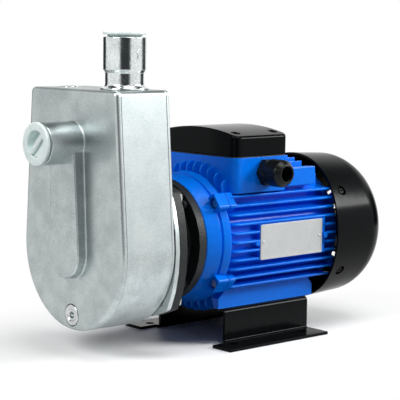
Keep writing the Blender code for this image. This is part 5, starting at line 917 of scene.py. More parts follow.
@dataclass
class TransitPlug:
    """White plug that closes a port for transport."""

    node: str
    axis: Axis
    centre: tuple[float, float, float]
    flange_r: float = 19.9
    flange: float = 2.9
    collar: float = 1.7
    collar_r: float = 15.8
    shank_r: float = 14.5
    shank: float = 11.0
    recess_r: float = 12.5
    recess: float = 8.0
    bar: float = 4.6
    shelf: float = 3.4

    def build(self) -> None:
        """Model the plug, its recess with the grip bar, and dress it."""
        low = CLEAR + self.collar
        top = low + self.flange
        floor = top - self.recess
        profile = [(0.0, floor, 0), (self.recess_r - 0.8, floor, 0.8), (self.recess_r, top, 0.6),
                   (self.flange_r, top, 1.1), (self.flange_r, low, 0.5),
                   (self.collar_r, low, 0.2), (self.collar_r, CLEAR, 0.2),
                   (self.shank_r, CLEAR, 0.2), (self.shank_r - 0.4, -self.shank, 1.0),
                   (0.0, -self.shank, 0)]
        plug = lathe(rounded(profile, 5, False), Axis.Z, steps=80)
        half = self.bar / 2
        reach = self.recess_r + 0.6
        bar = slab((-reach, -half, floor - 1), (reach, half, top - 0.7)).bevel(0.7, 3)
        shelf = prism([arc(0, 0, reach, -math.pi, 0.0, 32)], floor - 1, top - self.shelf).bevel(0.4)
        plug.add(bar, shelf)
        diagonal = Matrix.Rotation(math.radians(45), 4, "Z")
        plug.turned_by(diagonal).lay(self.axis, self.centre)
        finish_piece(self.node + "_moulding", plug, WHITE_POLYTHENE, self.node,
                     [self.node])


@dataclass
class SocketPlug:
    """Threaded stainless plug with a hexagon socket."""

    node: str
    axis: Axis
    centre: tuple[float, float, float]
    head_r: float = 10.0
    head: float = 4.0
    proud: float = 0.6
    thread_r: float = 7.4
    length: float = 12.0
    key_r: float = 3.8
    dish: float = 0.9
    dish_r: float = 5.2
    pitch: float = 1.5
    ridge: float = 0.5

    def build(self) -> None:
        """Model the plug with a ridged thread, and dress it."""
        top, under = self.proud, self.proud - self.head
        end = self.proud - self.length
        root_r = self.thread_r - self.ridge
        profile: list[Corner] = [(0.0, top - self.dish, 0), (self.dish_r, top - self.dish, 0.4),
                                 (self.dish_r + 1.0, top, 0.5), (self.head_r, top, 0.9),
                                 (self.head_r, under, 0.3)]
        h = under
        while h - self.pitch > end + 0.5:
            profile += [(root_r, h, 0.0), (self.thread_r, h - self.pitch / 2, 0.0)]
            h -= self.pitch
        profile += [(root_r, h, 0), (self.thread_r - 1.0, end, 0), (0.0, end, 0)]
        plug = lathe(rounded(profile, 4, False), Axis.Z, steps=72)
        key = rod(self.key_r, top - self.length / 2, top + 1, Axis.Z, steps=6)
        plug.carve(key).lay(self.axis, self.centre)
        finish_piece(self.node + "_turned", plug, TURNED_STEEL, self.node,
                     [self.node])


@dataclass
class Lantern:
    """Cast bracket between the casing and the motor."""

    ring_start: float = 104.6
    ring_r: float = 58.0

    def build(self) -> None:
        """Round the casting's edges and dress it, with the turned rim in a lighter metal that partly
        paints a highlight.
        """
        bracket = copy_of("bracket", 1.0, 2, 38.0)
        # the rear ring's outside takes a lighter metal, partly a painted highlight on the ring
        finish_piece("lantern_casting", bracket, (BLACK_IRON, MACHINED_IRON_AND_HIGHLIGHT), "pump",
                     ["bracket"], 40.0, self.lit_machined_rim)

    def lit_machined_rim(self, face: bmesh.types.BMFace) -> int:
        """Say whether a face lies on the turned outside of the rear ring, whose lighter finish is
        partly a painted highlight.

        Args:
            face: A face in millimetres.

        Returns:
            1 for the turned rim, whose lighter finish partly paints a highlight, and 0 for the painted
            casting.
        """
        middle = face.calc_center_median()
        outward = math.hypot(middle.x, middle.z)
        return 1 if middle.y > self.ring_start and outward > self.ring_r else 0


# Fasteners


@dataclass
class Screw:
    """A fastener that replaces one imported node."""

    head_r: float
    head: float
    shank_r: float
    length: float
    hexagon: bool = True

    def shape(self) -> Solid:
        """Model the fastener with the underside of its head at height 0.

        Returns:
            The fastener along Z.
        """
        if self.hexagon:
            body = rod(self.head_r, 0.0, self.head, Axis.Z, steps=6)
            flat = self.head_r * math.cos(math.pi / 6)
            cone = [(0.0, 0.0), (flat * 1.04, 0.0), (self.head_r + 0.02, 0.5),
                    (self.head_r + 0.02, self.head - 0.9), (flat * 0.96, self.head),
                    (0.0, self.head)]
            body.carve(lathe(cone, Axis.Z, steps=48), operation="INTERSECT")
        else:
            dome = rounded([(0.0, 0.0, 0), (self.head_r, 0.0, 0.2), (self.head_r, self.head * 0.5, 0.8),
                            (self.head_r * 0.7, self.head, 1.0), (0.0, self.head, 0)], 5, False)
            body = lathe(dome, Axis.Z, steps=40)
            arm, half, deep = self.head_r * 0.58, self.head_r * 0.11, self.head * 0.5
            body.carve(slab((-arm, -half, deep), (arm, half, self.head + 1)),
                       slab((-half, -arm, deep), (half, arm, self.head + 1)))
        ridge: list[Point] = [(0.0, 0.2), (self.shank_r, 0.2), (self.shank_r, -self.length + 0.6),
                              (self.shank_r - 0.5, -self.length), (0.0, -self.length)]
        return body.add(lathe(ridge, Axis.Z, steps=32))

    def fit(self, node: str, direction: Vector, seat: Vector, finish: Finish = ZINC_PLATE) -> None:
        """Place the fastener.

        Args:
            node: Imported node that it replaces.
            direction: Outward direction of the head.
            seat: Point under the head.
            finish: Its finish.
        """
        turn = direction.to_track_quat("Z", "Y").to_matrix().to_4x4()
        solid = self.shape().turned_by(Matrix.Translation(seat) @ turn)
        finish_piece(node + "_head", solid, finish, "pump", [node])


def middle_and_size(node: str) -> tuple[Vector, Vector]:
    """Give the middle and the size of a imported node's box in the pump's own millimetres."""
    low, high = (ORIGIN_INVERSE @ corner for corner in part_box(node))
    return (low + high) / 2, high - low


def fit_all_fasteners() -> None:
    """Put a detailed fastener in place of each packed one."""
    rows = [("casing_bolt", Screw(7.5, 5.3, 4.0, 13.9), Vector((0, 1, 0))),
            ("shield_bolt", Screw(4.4, 4.0, 2.5, 13.5), Vector((0, -1, 0))),
            ("cover_screw", Screw(3.8, 2.4, 2.0, 24.6, False), Vector((0, 0, 1))),
            ("base_bolt", Screw(4.6, 3.5, 2.5, 10.0), Vector((0, 0, -1)))]
    for family, screw, direction in rows:
        for i in range(1, 5):
            node = f"{family}_{i}"
            middle, size = middle_and_size(node)
            reach = abs(size.dot(direction)) / 2
            screw.fit(node, direction, middle + direction * (reach - screw.head))
    cowl = Screw(4.4, 2.4, 2.0, 9.2, False)
    for i in range(1, 5):
        node = f"cowl_screw_{i}"
        middle = middle_and_size(node)[0]
        direction = Vector((middle.x, 0, middle.z)).normalized()
        seat = direction * (FanCowl().seat_r + CLEAR) + Vector((0, middle.y, 0))
        cowl.fit(node, direction, seat, BLACK_ENAMEL)


# Motor


@dataclass
class FrontShield:
    """Blue end shield with its rim groove and four bolt lugs."""

    start: float = 114.0
    end: float = 140.9
    front_r: float = 59.5
    groove_r: float = 63.2
    groove_y: float = 130.6
    rim_r: float = 65.3
    inner_r: float = 51.5
    spigot_r: float = 54.3
    spigot_end: float = 144.7
    wall: float = 5.5
    hub_r: float = 25.3
    hub_end: float = 131.0
    bearing_r: float = 20.3
    bearing_y: float = 118.7
    shaft_r: float = 11.0
    lug_angle: float = 36.0
    lug_r: float = 71.5
    lug_half: float = 8.5
    lug_front: float = 127.0
    bolt_r: float = 65.5
    hole_r: float = 2.8
    pocket_r: float = 5.4
    pocket: float = 6.5

    def lug(self, angle: float, low: float, high: float) -> Solid:
        """Model one lug with rounded outer corners.

        Args:
            angle: Where it stands round the shaft, in degrees.
            low: Its start along Y.
            high: Its end along Y.

        Returns:
            The lug.
        """
        root = self.front_r - 5
        block = slab((root, low, -self.lug_half), (self.lug_r, high, self.lug_half))
        block.bevel(2.4, 5, where=lambda m: m.x > self.lug_r - 1 and abs(m.z) > 2)
        block.bevel(0.9, 3, where=lambda m: m.y < low + 0.5)
        return block.turned_by(Matrix.Rotation(-math.radians(angle), 4, "Y"))

    def build(self) -> None:
        """Model the shield with its lugs and bolt pockets, and dress it."""
        profile = [
            (self.shaft_r, self.start, 0.4), (self.front_r, self.start, 1.4),
            (self.groove_r, self.groove_y - 1.0, 1.0),
            (self.groove_r - 1.5, self.groove_y - 0.6, 0.4),
            (self.groove_r - 1.5, self.groove_y + 0.9, 0.4),
            (self.groove_r + 0.6, self.groove_y + 1.6, 0.8), (self.rim_r, self.end - 1.4, 0.8),
            (self.rim_r - 0.5, self.end, 0.3), (self.spigot_r, self.end, 0),
            (self.spigot_r, self.spigot_end, 0.3), (self.inner_r, self.spigot_end, 0.3),
            (self.inner_r, self.start + self.wall, 2.0), (self.hub_r, self.start + self.wall, 2.0),
            (self.hub_r, self.hub_end, 0.8), (self.bearing_r, self.hub_end, 0.3),
            (self.bearing_r, self.bearing_y, 0), (self.shaft_r, self.bearing_y, 0)]
        shield = lathe(rounded(profile, 4), steps=128, ring=True)
        front = self.lug_front
        pockets = []
        for angle in mirrored(self.lug_angle):
            x, z = polar(self.bolt_r, angle)
            shield.carve(self.lug(angle, front, self.end - 0.3), operation="UNION")
            pockets += [rod(self.pocket_r, front - 12, front + self.pocket, centre=(x, 0, z), steps=40),
                        rod(self.hole_r, front, self.end + 5, centre=(x, 0, z), steps=24)]
        shield.carve(*pockets)
        finish_piece("front_end_shield", shield, BLUE_ENAMEL, "pump",
                     ["end_shield_front"])


@dataclass
class MotorFrame:
    """Finned frame with its feet, terminal box walls and the pad of the bare plate."""

    start: float = 141.2
    end: float = 286.0
    drum_r: float = 59.0
    bore_r: float = 54.6
    side_tip: float = 67.0
    side_crown_r: float = 109.6
    side_pitch: float = 8.7
    side_count: int = 11
    upright_tip: float = 74.5
    upright_pitch: float = 10.1
    top_pairs: int = 5
    bottom_pairs: int = 4
    upright_end: float = 273.0
    side_end: float = 283.5
    root: float = 3.4
    tip: float = 2.2
    fin_corner: float = 7.0
    shoulder: tuple[float, float, float] = (48.5, 67.5, 260.5)
    foot: tuple[float, float, float, float] = (38.6, 46.0, -66.2, -47.5)
    foot_end: float = 270.5
    box_half: float = 58.0
    box_front: float = 150.5
    box_length: float = 71.5
    box_corner: float = 8.0
    box_wall: float = 3.0
    box_top: float = 80.7
    box_floor: float = 58.5
    gland: Point = (192.0, 65.5)
    entry_r: float = 9.9
    pad: tuple[float, float, float, float] = (177.0, 268.4, -19.5, 15.9)
    pad_face: float = 65.1
    stud_y: tuple[float, float] = (173.4, 267.8)
    stud_z: float = -1.8
    stud_r: float = 3.0
    stud_face: float = 67.6
    rear_tie_y: float = 228.0

    def blade(self, base: float, tip: float, low: float, high: float) -> Solid:
        """Model one fin along +X, tapered, with a rounded tip and front corner.

        Args:
            base: X inside the drum's wall.
            tip: X of the tip.
            low: Start along Y.
            high: End along Y.

        Returns:
            The fin.
        """
        fin = slab((base, low, -self.root / 2), (tip, high, self.root / 2))
        for vert in fin.bm.verts:
            if vert.co.x > (base + tip) / 2:
                vert.co.z *= self.tip / self.root
        reach = min(self.fin_corner, (tip - base) * 0.6)
        fin.bevel(reach, 7, where=lambda m: m.x > tip - 0.1 and abs(m.z) < 0.1 and m.y < low + 1)
        fin.bevel(0.7, 3, 24.0, where=lambda m: m.x > base + 0.5)
        return fin

    def side_fins(self) -> Solid:
        """Lay the level fins on both sides.

        Returns:
            The fins, left out where the plate and its pad lie.
        """
        made = Solid()
        half = self.side_count // 2
        for i in range(-half, half + 1):
            z = i * self.side_pitch
            base = math.sqrt(self.drum_r ** 2 - z ** 2) - 3
            tip = self.side_tip - self.side_crown_r + math.sqrt(self.side_crown_r ** 2 - z ** 2)
            for turn in (0.0, math.pi):
                fin = self.blade(base, tip, self.start + 1.5, self.side_end)
                fin.turned_by(Matrix.Translation((0, 0, z)) @ Matrix.Rotation(turn, 4, "Y"))
                made.add(fin)
        y0, y1, z0, z1 = self.pad
        return made.carve(slab((self.pad_face, y0 - 1, z0 - 1), (118, y1 + 1, z1 + 1)))

    def upright_fins(self, pairs: int, up: int) -> Solid:
        """Stand the upright fins on top or hang them below.

        Args:
            pairs: Number of fins on each side of the middle.
            up: 1 for the top and -1 for the bottom.

        Returns:
            The fins.
        """
        made = Solid()
        for i in range(pairs):
            x = (i + 0.5) * self.upright_pitch
            base = math.sqrt(self.drum_r ** 2 - x ** 2) - 3
            tip = math.sqrt(self.upright_tip ** 2 - x ** 2)
            for side in (1, -1):
                fin = self.blade(base, tip, self.start + 1.5, self.upright_end)
                turn = Matrix.Rotation(-up * math.pi / 2, 4, "Y")
                fin.turned_by(Matrix.Translation((side * x, 0, 0)) @ turn)
                made.add(fin)
        return made

    def feet(self) -> Solid:
        """Model the two cast feet with sloping ends.

        Returns:
            The feet.
        """
        inner, outer, low, high = self.foot
        web = inner - 5
        made = Solid()
        for sign in (1, -1):
            section = [(inner, low), (outer, low), (outer, high), (outer - 6, high + 5.5),
                       (web, high + 2), (web, high - 5), (inner, high - 9)]
            foot = prism([[(sign * x, z) for x, z in section]], self.start + 0.3, self.foot_end,
                         Axis.Y)
            side = [(self.start - 1, low - 1), (self.foot_end + 1, low - 1),
                    (self.foot_end + 1, high - 8), (self.foot_end - 14, high + 9),
                    (self.start + 20, high + 9), (self.start - 1, high - 10)]
            reach = sorted((sign * (web - 2), sign * (outer + 2)))
            foot.carve(prism([side], reach[0], reach[1], Axis.X), operation="INTERSECT")
            made.add(foot.bevel(0.9, 3))
        return made

    def box_outline(self, inset: float) -> list[Point]:
        """Give the terminal box's outline in (x, y).

        Args:
            inset: How far it is moved inwards.

        Returns:
            The closed outline.
        """
        half = self.box_half - inset
        low, high = self.box_front + inset, self.box_front + self.box_length - inset
        radius = max(self.box_corner - inset, 1.0)
        return rounded([(half, low, radius), (half, high, radius), (-half, high, radius),
                        (-half, low, radius)], 10)

    def box(self) -> Solid:
        """Model the terminal box's walls and the shoulder behind them.

        Returns:
            The walls, the deck and the shoulder, cut to the drum.
        """
        low, high, rear = self.shoulder
        middle = self.box_front + self.box_length / 2
        box = prism([self.box_outline(0)], low - 2, self.box_top)
        box.bevel(0.6, 2, where=lambda m: m.z > self.box_top - 0.1)
        inner = prism([self.box_outline(self.box_wall)], self.box_floor, self.box_top + 5)
        entry = rod(self.entry_r, self.box_half - 9, self.box_half + 3, Axis.X, (0, *self.gland))
        bore = rod(self.drum_r - 2, self.start - 5, self.end + 5, Axis.Y, steps=128)
        box.carve(inner, entry, bore)
        outer = self.box_half - 0.2
        inside = self.box_half - 2 * self.box_wall
        deck = slab((-inside - 1, middle, low), (inside + 1, rear - 1, low + 4))
        box.add(deck.carve(bore))
        for sign in (1, -1):
            low_x, high_x = sorted((sign * inside, sign * outer))
            wall = slab((low_x, middle, low + 1), (high_x, rear, high))
            box.add(wall.bevel(0.9, 3, where=lambda m: m.y > middle + 1))
        return box

    def build(self) -> None:
        """Model the frame and dress it."""
        drum = rounded([(self.bore_r, self.start, 0.3), (self.drum_r, self.start, 0.8),
                        (self.drum_r, self.end, 0.6), (self.bore_r, self.end, 0.3)], 3)
        body = lathe(drum, steps=160, ring=True)
        lower = self.upright_fins(self.bottom_pairs, -1)
        low = self.foot[2]
        lower.carve(slab((-50, self.rear_tie_y, -118), (50, 300, low)))
        body.add(self.side_fins(), self.upright_fins(self.top_pairs, 1), lower, self.feet(),
                 self.box())
        y0, y1, z0, z1 = self.pad
        pad = slab((self.drum_r - 4, y0, z0), (self.pad_face, y1, z1))
        body.add(pad.bevel(0.5, 2, where=lambda m: m.x > self.pad_face - 0.1))
        for y in self.stud_y:
            stud = rod(self.stud_r, self.drum_r - 4, self.stud_face, Axis.X, (0, y, self.stud_z), 32)
            body.add(stud.bevel(0.6, 3))
        shield = FrontShield()
        for angle in mirrored(shield.lug_angle):
            body.add(shield.lug(angle, self.start + 0.3, self.start + 8))
        finish_piece("finned_frame", body, BLUE_ENAMEL, "pump", ["motor_frame"])


@dataclass
class FanCowl:
    """Black pressed cowl with its arched rim, screw dimples and rear grille."""

    front_r: float = 76.8
    rear_r: float = 74.2
    side_front: float = 276.0
    top_front: float = 288.0
    end: float = 360.0
    dome: float = 32.0
    wall: float = 2.2
    screw_y: float = 294.0
    screw_angle: float = 33.0
    dimple_r: float = 5.4
    dimple: float = 3.6
    rings: int = 4
    spokes: int = 8
    grille_r: float = 12.0
    slot: float = 5.2
    rib: float = 3.0
    bridge: float = 1.6

    def radius(self, y: float) -> float:
        """Give the outer radius on the straight tapering part."""
        share = (y - self.side_front) / (self.end - self.dome - self.side_front)
        return self.front_r + (self.rear_r - self.front_r) * share

    @property
    def seat_r(self) -> float:
        """Give the radius of the floor of the screw dimples."""
        return self.radius(self.screw_y) - self.dimple

    def shell(self) -> Solid:
        """Spin the cowl's wall, from its plain front edge to the domed rear.

        Returns:
            The wall, closed at the rear.
        """
        bend = self.end - self.dome
        start = self.side_front
        outer = [(self.radius(start), start)]
        outer += [(self.rear_r - self.dome + r, y) for r, y in
                  arc(0, bend, self.dome, 0, math.pi / 2, 20)]
        inner = [(self.rear_r - self.dome + r, y) for r, y in
                 arc(0, bend, self.dome - self.wall, math.pi / 2, 0, 20)]
        inner += [(self.radius(start) - self.wall, start)]
        return lathe([(0.0, self.end)] + outer[::-1] + inner[::-1] + [(0.0, self.end - self.wall)],
                     steps=160)

    def arch(self) -> Solid:
        """Make the cutter that sets the rim back at top and bottom.

        Returns:
            The cutter.
        """
        depth = self.top_front - self.side_front
        reach = self.front_r * 1.05
        rim = [(self.side_front + 0.3 + depth * (z / self.front_r) ** 2, z)
               for z in (reach * (1 - i / 24) for i in range(49))]
        low = self.side_front - 20
        outline = [(low, reach * 1.1), (rim[0][0], reach * 1.1)] + rim
        outline += [(rim[-1][0], -reach * 1.1), (low, -reach * 1.1)]
        return prism([outline], -self.front_r * 1.2, self.front_r * 1.2, Axis.X)

    def radial(self, angle: float, profile: Sequence[Point], ring: bool = False) -> Solid:
        """Spin a profile round a line out of the shaft at a screw's place.

        Args:
            angle: Where the line stands round the shaft, in degrees.
            profile: Points as (radius, distance from the shaft).
            ring: Whether the profile closes on itself, away from the line.

        Returns:
            The solid.
        """
        x, z = polar(1.0, angle)
        turn = Vector((x, 0, z)).to_track_quat("Z", "Y").to_matrix().to_4x4()
        return lathe(profile, Axis.Z, steps=48, ring=ring).turned_by(
            Matrix.Translation((0, self.screw_y, 0)) @ turn)

    def grille(self) -> Solid:
        """Make the cutter for the curved grille slots.

        Returns:
            The cutter.
        """
        made = Solid()
        step = 2 * math.pi / self.spokes
        for ring in range(self.rings):
            low = self.grille_r + ring * (self.slot + self.rib)
            high = low + self.slot
            for spoke in range(self.spokes):
                first = (spoke + 0.5 * (ring % 2)) * step + self.rib / low / self.bridge
                last = first + step - 2 * self.rib / low / self.bridge
                outline = arc(0, 0, low, first, last, 8) + arc(0, 0, high, last, first, 8)
                made.add(prism([outline], self.end - 9, self.end + 5, Axis.Y))
        return made

    def build(self) -> None:
        """Model the cowl and dress it."""
        floor, face, r = self.seat_r, self.radius(self.screw_y), self.dimple_r
        cut = [(0.0, floor - 4), (r, floor - 4), (r, face - 0.7), (r + 1.2, face + 2),
               (0.0, face + 2)]
        dish = rounded([(2.3, floor, 0.1), (r - 0.1, floor, 0.8), (r - 0.1, face - 1.1, 0),
                        (r + self.wall, face - 1.1, 0), (r + self.wall, floor - self.wall, 0.8),
                        (2.3, floor - self.wall, 0.1)], 4)
        angles = mirrored(self.screw_angle)
        cutters = [self.radial(angle, cut) for angle in angles]
        dishes = [self.radial(angle, dish, ring=True) for angle in angles]
        for _ in range(CUT_TRIES):
            cowl = self.shell()
            whole = cowl.bm.calc_volume(signed=True)
            cowl.carve(self.arch(), self.grille(), *cutters)
            if 0 < cowl.bm.calc_volume(signed=True) < whole:
                break
        cowl.add(*dishes)
        finish_piece("pressed_cowl", cowl, BLACK_ENAMEL, "pump", ["fan_cowl"], 30.0)


@dataclass
class TerminalCover:
    """Crowned cover on the terminal box, with four screw recesses."""

    half: float = MotorFrame.box_half
    front: float = MotorFrame.box_front
    length: float = MotorFrame.box_length
    low_z: float = 82.0
    side: float = 19.0
    crown: float = 7.4
    corner: float = MotorFrame.box_corner
    edge: float = 2.4
    screw_x: float = 46.0
    inset: float = 11.0
    recess_r: float = 4.6
    recess: float = 6.5

    def top(self, x: float) -> float:
        """Give the height of the crown."""
        radius = (self.half ** 2 + self.crown ** 2) / (2 * self.crown)
        return self.low_z + self.side + self.crown - radius + math.sqrt(radius ** 2 - x * x)

    def outline(self, inset: float) -> list[Point]:
        """Give the outline in (x, y), its front half from left to right and then its rear.

        Args:
            inset: How far it is moved inwards.

        Returns:
            The closed outline.
        """
        radius = self.corner - inset
        middle = self.front + self.length / 2
        low, high = self.front + inset + radius, self.half - self.corner
        left = arc(-high, low, radius, math.pi, 1.5 * math.pi, 10)
        right = arc(high, low, radius, 1.5 * math.pi, 2 * math.pi, 10)
        level = [(high * (i / 12 - 1), self.front + inset) for i in range(1, 24)]
        front = left + level + right
        return front + [(x, 2 * middle - y) for x, y in reversed(front)]

    def build(self) -> None:
        """Model the cover and dress it."""
        rings = [(0.5, self.low_z, False), (0.0, self.low_z + 0.5, False)]
        rings += [(height, -inset, True) for inset, height in quarter(self.edge, 6)]
        cover = loft([[(x, y, self.top(x) + height if on_crown else height)
                       for x, y in self.outline(inset)] for inset, height, on_crown in rings], True)
        cuts = []
        low_y, high_y = self.front + self.inset, self.front + self.length - self.inset
        wide = self.recess_r + 1.2
        for x in (self.screw_x, -self.screw_x):
            face = self.top(x)
            floor = face - self.recess
            profile = rounded([(0.0, floor, 0), (self.recess_r, floor, 0.5),
                               (self.recess_r, face - 0.9, 0.2), (wide, face + 1.5, 0),
                               (wide, floor + 12, 0), (0.0, floor + 12, 0)], 4, False)
            cuts += [lathe(profile, Axis.Z, (x, y, 0), 40) for y in (low_y, high_y)]
        cuts.append(prism([rounded([(-50, low_y - 2, 2), (50, low_y - 2, 2),
                                    (50, high_y + 2, 2), (-50, high_y + 2, 2)])],
                          self.low_z - 1, self.low_z + 1.2))
        cover.carve(*cuts)
        finish_piece("crowned_cover", cover, BLACK_ENAMEL, "pump",
                     ["terminal_cover"], 30.0)


@dataclass
class CableGland:
    """Nylon gland with a hexagon, a grip nut and a sealing ring in its mouth, the ring's grey partly a
    painted highlight.
    """

    y: float = MotorFrame.gland[0]
    z: float = MotorFrame.gland[1]
    start: float = 58.3
    hex_r: float = 14.4
    hex_length: float = 8.0
    nut_r: float = 13.3
    nut_start: float = 66.6
    nut_end: float = 86.6
    bore_r: float = 6.6
    thread_r: float = 9.6
    thread_start: float = 51.0
    grips: int = 12
    grip_r: float = 1.7

    def build(self) -> None:
        """Model the gland's body and nut, and dress them."""
        at = (0, self.y, self.z)
        end = self.start + self.hex_length
        spigot = end + 11
        flat = self.hex_r * math.cos(math.pi / 6)
        hexagon = rod(self.hex_r, self.start, end, Axis.X, at, 6)
        cone = [(0.0, self.start), (self.hex_r - 0.3, self.start), (self.hex_r + 0.05, self.start + 1),
                (self.hex_r + 0.05, end - 1.6), (flat, end), (0.0, end)]
        hexagon.carve(lathe(cone, Axis.X, at, 64), operation="INTERSECT")
        tube = lathe([(self.bore_r, self.thread_start), (self.thread_r, self.thread_start),
                      (self.thread_r, spigot), (self.bore_r, spigot)], Axis.X, at, 48, ring=True)
        ring = lathe(rounded([(self.bore_r, spigot - 6, 0.5), (self.bore_r + 1, spigot - 6, 0),
                              (self.bore_r + 1, spigot - 0.4, 0), (self.bore_r, spigot - 0.4, 0.5)],
                             3), Axis.X, at, 48, ring=True)
        hexagon.carve(rod(self.bore_r + 1, self.start - 5, end + 5, Axis.X, at)).add(tube, ring)
        # the ring's grey finish is partly a painted highlight inside the gland's mouth
        finish_piece("gland_hexagon", hexagon, (BLACK_NYLON, GREY_SEAL_AND_HIGHLIGHT), "pump",
                     ["gland_body"], choose=lambda face: self.in_ring(face, spigot))
        mouth = self.bore_r + 0.8
        inner = self.thread_r + CLEAR
        profile = [(inner, self.nut_start, 0.3), (self.nut_r, self.nut_start, 0.6),
                   (self.nut_r, self.nut_end - 5, 3.0), (self.nut_r - 4.2, self.nut_end, 1.6),
                   (mouth, self.nut_end, 0.5), (mouth, spigot + 2, 0), (inner, spigot + 1, 0)]
        nut = lathe(rounded(profile, 6), Axis.X, at, 96, ring=True)
        round_nut = arc(self.y, self.z, self.nut_r + 1.1, 0.0, 2 * math.pi, self.grips)[:-1]
        nut.carve(*[rod(self.grip_r, self.nut_start + 2, self.nut_end - 4.6, Axis.X, (0, y, z), 16)
                    for y, z in round_nut])
        finish_piece("gland_grip_nut", nut, BLACK_NYLON, "gland_nut",
                     ["gland_nut"])

    def in_ring(self, face: bmesh.types.BMFace, spigot: float) -> int:
        """Say whether a face lies on the sealing ring at the mouth.

        Args:
            face: A face in millimetres.
            spigot: X of the mouth's end.

        Returns:
            1 for the ring, whose grey partly paints a highlight, and 0 for the nylon.
        """
        middle = face.calc_center_median()
        outward = math.hypot(middle.y - self.y, middle.z - self.z)
        return 1 if middle.x > spigot - 6.2 and outward < self.bore_r + 1.1 else 0


@dataclass
class BarePlate:
    """Riveted aluminium plate, bare but for its pressed border."""

    face_x: float = 65.4
    start: float = 177.8
    length: float = 85.6
    middle_z: float = MotorFrame.stud_z
    height: float = 34.4
    thick: float = 0.8
    border: float = 1.3
    line: float = 0.5
    rivet_r: float = 1.8
    rivet: float = 0.9
    rivet_inset: float = 3.6

    def build(self) -> None:
        """Model the plate with its border and rivets, and dress it."""
        low, high = self.middle_z - self.height / 2, self.middle_z + self.height / 2
        end = self.start + self.length
        outline = rounded([(self.start, low, 1.5), (end, low, 1.5), (end, high, 1.5),
                           (self.start, high, 1.5)], 4)
        plate = prism([outline], self.face_x, self.face_x + self.thick, Axis.X).bevel(0.15, 2)
        pressed = []
        for step in (0.0, self.line):
            low_y, high_y = self.start + self.border + step, end - self.border - step
            low_z, high_z = low + self.border + step, high - self.border - step
            pressed.append([(low_y, low_z), (high_y, low_z), (high_y, high_z), (low_y, high_z)])
        plate.add(prism(pressed, self.face_x + 0.4, self.face_x + self.thick + 0.12, Axis.X))
        for y in (self.start + self.rivet_inset, end - self.rivet_inset):
            dome = rounded([(0.0, -0.2, 0), (self.rivet_r, -0.2, 0), (self.rivet_r, 0.3, 0.2),
                            (self.rivet_r * 0.7, self.rivet, 0.5), (0.0, self.rivet, 0)],
                           4, False)
            plate.add(lathe(dome, Axis.X, (self.face_x + self.thick, y, self.middle_z), 32))
        finish_piece("bare_plate", plate, BRUSHED_ALUMINIUM, "pump",
                     ["rating_plate"])


@dataclass
class FoldedBase:
    """Base folded from one sheet, with two feet."""

    floor: float = -101.0
    top: float = -66.5
    sheet: float = 3.0
    web_x: float = 50.0
    bend: float = 4.5
    start: float = 147.0
    end: float = 260.7
    foot_x: float = 79.6
    toe_start: float = 127.2
    toe_inner: float = 54.5
    window: tuple[float, float] = (37.8, 231.0)
    hole_x: float = 63.0
    hole_y: tuple[float, float] = (145.8, 241.2)
    hole_r: float = 4.5
    bolt_x: float = 42.3
    bolt_y: tuple[float, float] = (160.0, 248.0)
    bolt_r: float = 2.8

    def build(self) -> None:
        """Model the base with smooth bends, holes and a window, and dress it."""
        s, r, tight = self.sheet, self.bend, self.bend - self.sheet
        corners = [(-self.foot_x, self.floor, 0), (-self.web_x + s, self.floor, r),
                   (-self.web_x + s, self.top - s, tight), (self.web_x - s, self.top - s, tight),
                   (self.web_x - s, self.floor, r), (self.foot_x, self.floor, 0),
                   (self.foot_x, self.floor + s, 0), (self.web_x, self.floor + s, tight),
                   (self.web_x, self.top, r), (-self.web_x, self.top, r),
                   (-self.web_x, self.floor + s, tight), (-self.foot_x, self.floor + s, 0)]
        base = prism([rounded(corners, 8)], self.start, self.end, Axis.Y)
        cuts = [slab((-self.window[0], self.start - 5, self.top - 9),
                     (self.window[0], self.window[1], self.top + 5))]
        for sign in (1, -1):
            low, high = sorted((sign * self.toe_inner, sign * self.foot_x))
            toe = slab((low, self.toe_start, self.floor), (high, self.start + 5, self.floor + s))
            base.carve(toe, operation="UNION")
            cuts += [rod(self.hole_r, self.floor - 5, self.floor + 6, Axis.Z,
                         (sign * self.hole_x, y, 0), 40) for y in self.hole_y]
            cuts += [rod(self.bolt_r, self.top - 6, self.top + 5, Axis.Z,
                         (sign * self.bolt_x, y, 0), 24) for y in self.bolt_y]
        base.carve(*cuts).bevel(0.45, 2, 50.0)
        finish_piece("folded_base", base, BLACK_ENAMEL, "pump", ["base_bracket"])


def dress_inner_pieces() -> None:
    """Dress the pieces inside the pump and motor, and shade every imported node smoothly below a crease
    angle.
    """
    dress({
        "check_flap": BLACK_RUBBER, "seal_plate": BLASTED_STEEL, "casing_o_ring": BLACK_RUBBER,
        "volute": BLASTED_STEEL, "impeller_nut": TURNED_STEEL,
        "seal_head": BLACK_RUBBER, "seal_spring": TURNED_STEEL, "seal_seat": WHITE_CERAMIC,
        "shaft": GROUND_STEEL, "slinger": BLACK_RUBBER, "stator_core": GROUND_STEEL,
        "winding_front": COPPER_WIRE, "winding_rear": COPPER_WIRE, "rotor": GROUND_STEEL,
        "bearing_front_outer": GROUND_STEEL, "bearing_front_inner": GROUND_STEEL,
        "bearing_rear_outer": GROUND_STEEL, "bearing_rear_inner": GROUND_STEEL,
        "end_shield_rear": BLUE_ENAMEL, "terminal_gasket": BLACK_RUBBER,
        "terminal_board": BROWN_PHENOLIC, "impeller": BLASTED_STEEL, "fan": BLACK_NYLON,
    })
    for node in frame["nodes"].values():
        node.data.shade_smooth()
        node.data.set_sharp_from_angle(angle=math.radians(CAD_SMOOTH))


# Studio


@dataclass
class Lamp:
    """A soft lamp: where it hangs, in degrees and metres, its size and its power."""

    azimuth: float
    elevation: float
    away: float
    width: float
    height: float
    power: float


